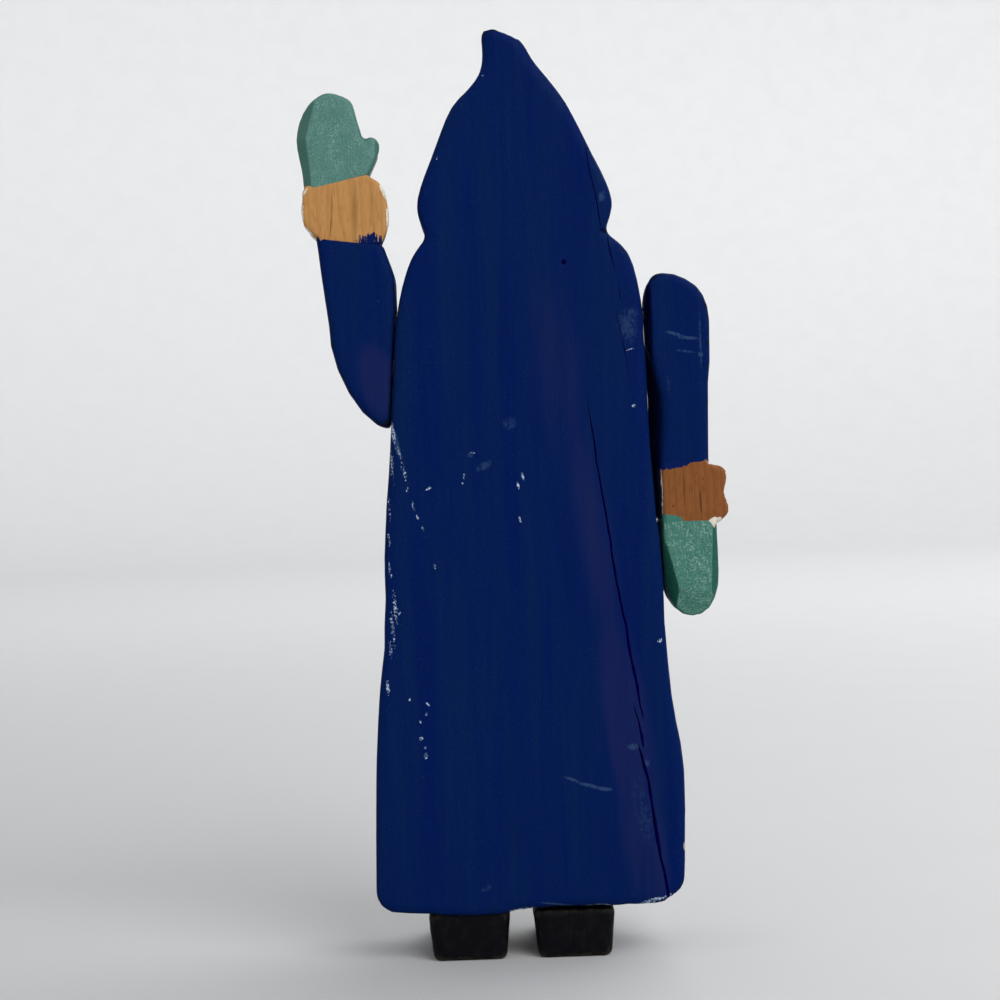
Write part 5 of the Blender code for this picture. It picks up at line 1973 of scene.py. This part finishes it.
def hanging_arm() -> Arm:
    """Describes the figure's right arm.

    Returns:
        The arm, with a narrow mitten and brown cuff.
    """
    return Arm(
        side="right",
        body=Body.RIGHT_ARM,
        cuff=CuffPaint(
            "right_cuff_pine",
            (0.222, 0.082, 0.026),
            (0.135, 0.044, 0.014),
            mark_all({
                Show.BARE: (
                    (-59.2, 147.5, 0.4, 5.5, 2, 1.1), (-53.9, 152.0, 0.5, 9.0, 0, 0.55),
                    (-56.4, 151.0, 0.4, 11.0, 1, 0.45), (-61.8, 154.0, 0.4, 6.0, 0, 0.4),
                    (-50.1, 146.3, 0.38, 0.42, 0, 2.2), (-60.3, 154.9, 0.4, 0.3, 0, 1.5),
                ),
                Show.SMUDGE: ((-50.0, 161.0, 11.5, 3.4, 7, 1.25, 24.0, 8.0),),
                Show.TINT: ((-47.0, 141.0, 9.0, 3.4, 0, 1.2, 24.0, 8.0),),
                Show.CHIP: (
                    (-64.2, 160.6, 3.6, 2.2, -12, 1.3), (-65.0, 139.8, 4.6, 2.9, -14, 1.5),
                    (-46.2, 151.0, 1.15, 10.5, 0, 1.05),
                ),
            }),
            2.3,
            1.1,
            # painted shade on the side towards the robe
            True,
        ),
        mitten=MittenPaint(
            "right_mitten_teal",
            (0.050, 0.170, 0.130),
            (0.008, 0.070, 0.052),
            (0.215, 0.340, 0.305),
            0.85,
            0.62,
        ),
        ends=((0.0, 0.0, -1.0), (0.0, 0.0, 1.0)),
        fuller={
            "sleeve": (
                ((160, 0.25), (222, 0.25)),
                ((160, 0.25), (186, 0.35), (193, 0.95), (222, 0.9)),
            ),
            "cuff": (
                ((141, 0.35), (160, 0.35)),
                ((143, 0.05), (151, 0.2), (156, 0.4), (160, 0.4)),
            ),
            "mitten": (((110, 0.0), (127, 0.1), (136, 0.5), (141, 0.5)), ((110, 0.1), (141, 0.1))),
        },
        lean=(0.0, -0.025),
        lobe=(-64.6, 2.2),
        mitten_cuts=(
            Slice((-49.4, 25.0, 128.0), (0.74, 0.66, -0.16)),
            Slice((-62.0, 25.0, 128.0), (-0.62, 0.78, -0.03)),
            Slice((-55.0, 25.0, 118.8), (0.05, 0.93, -0.36)),
            Slice((-61.8, 6.0, 126.0), (-0.66, -0.75, 0.0)),
            Slice((-49.5, 6.0, 126.0), (0.66, -0.75, 0.0)),
            Slice((-55.5, 6.0, 117.0), (0.0, -0.80, -0.60)),
        ),
        sleeve_cuts=(
            Slice((-45.2, 25.0, 205.0), (0.90, 0.44, 0.0)),
            Slice((-60.6, 6.0, 190.0), (-0.70, -0.70, 0.0)),
            Slice((-55.0, 6.0, 219.0), (-0.30, -0.66, 0.68)),
        ),
        grooves=(
            Groove((-47.5, 199.0), (-59.5, 191.0), 1.4, 0.8),
            Groove((-47.5, 189.0), (-58.5, 180.0), 1.4, 0.9),
            Groove((-50.0, 208.0), (-57.0, 204.0), 1.2, 0.5),
        ),
        crease=(
            Groove((-51.5, 141.0), (-54.5, 127.0), 1.3, 1.2),
            Groove((-54.5, 127.0), (-49.0, 123.5), 1.2, 0.9),
        ),
        sleeve_marks=mark_all({
            Show.SMUDGE: (
                (-52.6, 202.4, 5.0, 0.9, -18, 1.2), (-57.0, 200.9, 5.2, 0.8, -4, 1.3),
                (-56.0, 196.6, 5.0, 0.7, -9, 1.0), (-60.9, 200.0, 0.6, 17.0, 0, 1.0),
                (-60.8, 195.4, 1.0, 1.0, 0, 2.2), (-50.0, 186.0, 1.5, 9.0, 4, 0.6),
            ),
            # painted shade on the band of the sleeve that faces the robe
            Show.SHADE: ((-44.0, 206.0, 1.9, 26.0, 0, 1.3),),
        }),
    )


@dataclass
class Boots:
    """The two black boots. Lengths are in millimetres."""

    robe_front: float = -12.0

    def build(self) -> None:
        """Carves and dresses both boots."""
        for side in ("left", "right"):
            self.boot(side)

    def boot(self, side: str) -> None:
        """Carves one boot: a low toe, a rounded heel and knife cuts.

        Args:
            side: left or right.
        """
        boot = Carving(f"{side}_boot", f"{side}_boot_carving", KNIFE_MESH, 3)
        points = boot.points
        x, y, z = (points / MM).T
        low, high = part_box(f"{side}_boot")
        middle = (low.x + high.x) / 2 / MM
        toe = ease(y, self.robe_front - 2.5, low.y / MM + 1.0)
        crown = np.clip(1 - 0.55 * ((x - middle) / 13.3) ** 2 * ease(y, -8, -16), 0.3, 1)
        points[:, 2] = z * (1 - 0.38 * toe) * crown * MM
        boot.points = points
        cuts = scallops(points, (5 * MM, 8 * MM, 5 * MM), 61)
        boot.lower(ease(z, 0.8, 2.5) * 0.30 * cuts * MM)
        for way in (-1, 1):
            boot.widen(way, ((0, 0.3), (4, 0.45), (16, 0.45)))
        boot.hand_over(Body.FIGURE, "black_paint", BootPaint(f"{side}_boot_black"))


@dataclass
class Pegs:
    """The pegs and dowels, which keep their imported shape."""

    names: tuple[str, ...] = (
        "left_shoulder_peg",
        "right_shoulder_peg",
        "left_wrist_dowel",
        "right_wrist_dowel",
        "left_boot_dowel",
        "right_boot_dowel",
    )

    def build(self) -> None:
        """Dresses them in bare wood."""
        wood = BareWood("dowel_pine").make()
        for name in self.names:
            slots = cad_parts[name].data.materials
            for i in range(len(slots)):
                slots[i] = wood
            log.info("%s: keeps its packed shape", name)


# Studio
@dataclass
class Studio:
    """The pale surroundings, soft lights and the camera. Lengths are in metres."""

    flat: float = 4.0
    reach: float = 6.0
    height: float = 2.4
    distance: float = 0.600
    target: Place = (0.0062, 0.026, 0.1502)
    view_width: float = 0.3255
    roll: float = 2.0
    sky: tuple[Colour, float] = ((0.93, 0.96, 1.0), 0.45)
    pale: Colour = (0.462, 0.462, 0.464)
    paler: Colour = (0.560, 0.560, 0.563)
    far_off: Colour = (0.735, 0.735, 0.735)
    scuffs: Colour = (0.40, 0.40, 0.41)
    sensor: float = 36.0
    lamps: tuple[tuple[str, Place, float, float], ...] = (
        ("key", (-0.75, 1.0, 0.85), 45.0, 2.4),
        ("fill", (1.0, 0.8, 0.5), 80.0, 0.5),
        ("front_key", (-0.9, -1.0, 0.95), 70.0, 2.4),
        ("front_fill", (1.0, -0.7, 0.5), 90.0, 0.5),
    )

    def build(self) -> None:
        """Makes the floor, the lights and the camera."""
        self.floor()
        for lamp in self.lamps:
            self.light(*lamp)
        world = bpy.data.worlds.new("pale_room")
        world.use_nodes = True
        sky = world.node_tree.nodes["Background"].inputs
        sky["Color"].default_value = (*self.sky[0], 1.0)
        sky["Strength"].default_value = self.sky[1]
        bpy.context.scene.world = world
        bpy.context.scene.view_settings.view_transform = "Standard"
        self.camera()

    def floor(self) -> None:
        """Makes a pale floor that turns up into a wall all round, without an edge, with painted
        light and shade in its colour.
        """
        bend = self.reach - self.flat
        turn = np.linspace(0, np.pi / 2, 14)
        profile = [(r, 0.0) for r in (0.05, 0.3, 0.8, 1.6, 2.8)]
        profile += [(self.flat + bend * math.sin(a), bend * (1 - math.cos(a))) for a in turn]
        profile.append((self.reach, self.height))
        sides = 72
        points = [(0.0, 0.0, 0.0)]
        for radius, z in profile:
            for i in range(sides):
                angle = 2 * math.pi * i / sides
                points.append((radius * math.cos(angle), radius * math.sin(angle), z))
        faces = [[0, 1 + i, 1 + (i + 1) % sides] for i in range(sides)]
        for row, i in itertools.product(range(len(profile) - 1), range(sides)):
            low, high = 1 + row * sides, 1 + (row + 1) * sides
            following = (i + 1) % sides
            faces.append([low + i, high + i, high + following, low + following])
        floor = solid("floor", points, faces)
        floor.data.shade_smooth()
        coat = Coat("pale_floor", self.pale)
        g = coat.g
        # painted light and shade: darker near the figure and lighter far off and up the wall, to
        # even out the light over the bend
        level = g.move("MULTIPLY", coat.position, (1.0, 1.0, 2.2))
        far = g.add("VectorMath", {0: level}, operation="LENGTH").outputs["Value"]
        coat.lay(g.ease(far, 0.0, 2.2), self.paler)
        coat.lay(g.ease(far, 3.7, 8.4), self.far_off)
        # painted shade: the floor is darker towards +X, away from the key light
        side = g.sum("DIVIDE", g.axes(coat.position)["X"], g.plus(far, 0.35))
        shade = g.minus(1.0, g.times(side, 0.40))
        tone = g.add("CombineXYZ", {0: shade, 1: shade, 2: shade}).outputs[0]
        coat.colour = g.mix(1.0, coat.colour, tone, "MULTIPLY")
        coat.lay(g.ease(coat.noise(60.0, 4.0), 0.35, 0.70, 0.05), self.scuffs)
        floor.data.materials.append(coat.done(0.75, coat.noise(2.0), 0.02, 0.1))

    def light(self, name: str, place: Sequence[float], soft: float, power: float) -> None:
        """Hangs one soft light far off, which looks at the figure.

        Args:
            name: the light's name.
            place: the way to it from the figure.
            soft: how wide it looks from the figure, in degrees.
            power: its strength, in watts per square metre.
        """
        lamp = bpy.data.lights.new(name, "SUN")
        lamp.angle, lamp.energy = math.radians(soft), power
        hung = placed(name, lamp)
        hung.location = place
        hung.rotation_euler = (-Vector(place)).to_track_quat("-Z", "Y").to_euler()

    def camera(self) -> None:
        """Sets the camera up square to the figure's back, as the photograph was taken."""
        lens = bpy.data.cameras.new("camera")
        lens.sensor_width = self.sensor
        lens.lens = self.sensor * self.distance / self.view_width
        lens.clip_start = 0.05
        camera = placed("camera", lens)
        turn = math.radians(self.roll)
        right = Vector((-math.cos(turn), 0.0, -math.sin(turn)))
        up = Vector((-math.sin(turn), 0.0, math.cos(turn)))
        back = Vector((0.0, 1.0, 0.0))
        place = Matrix((right, up, back)).transposed().to_4x4()
        place.translation = Vector(self.target) + back * self.distance
        camera.matrix_world = place
        bpy.context.scene.camera = camera


def main() -> None:
    """Builds the figure part by part, then the studio."""
    logging.basicConfig(level=logging.INFO, format="%(message)s")
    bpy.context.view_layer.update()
    parts = (Robe(), Head(), raised_arm(), hanging_arm(), Boots(), Pegs(), Studio())
    for part in parts:
        log.info("building %s", type(part).__name__)
        part.build()
    bpy.context.view_layer.update()


if __name__ == "__main__":
    main()
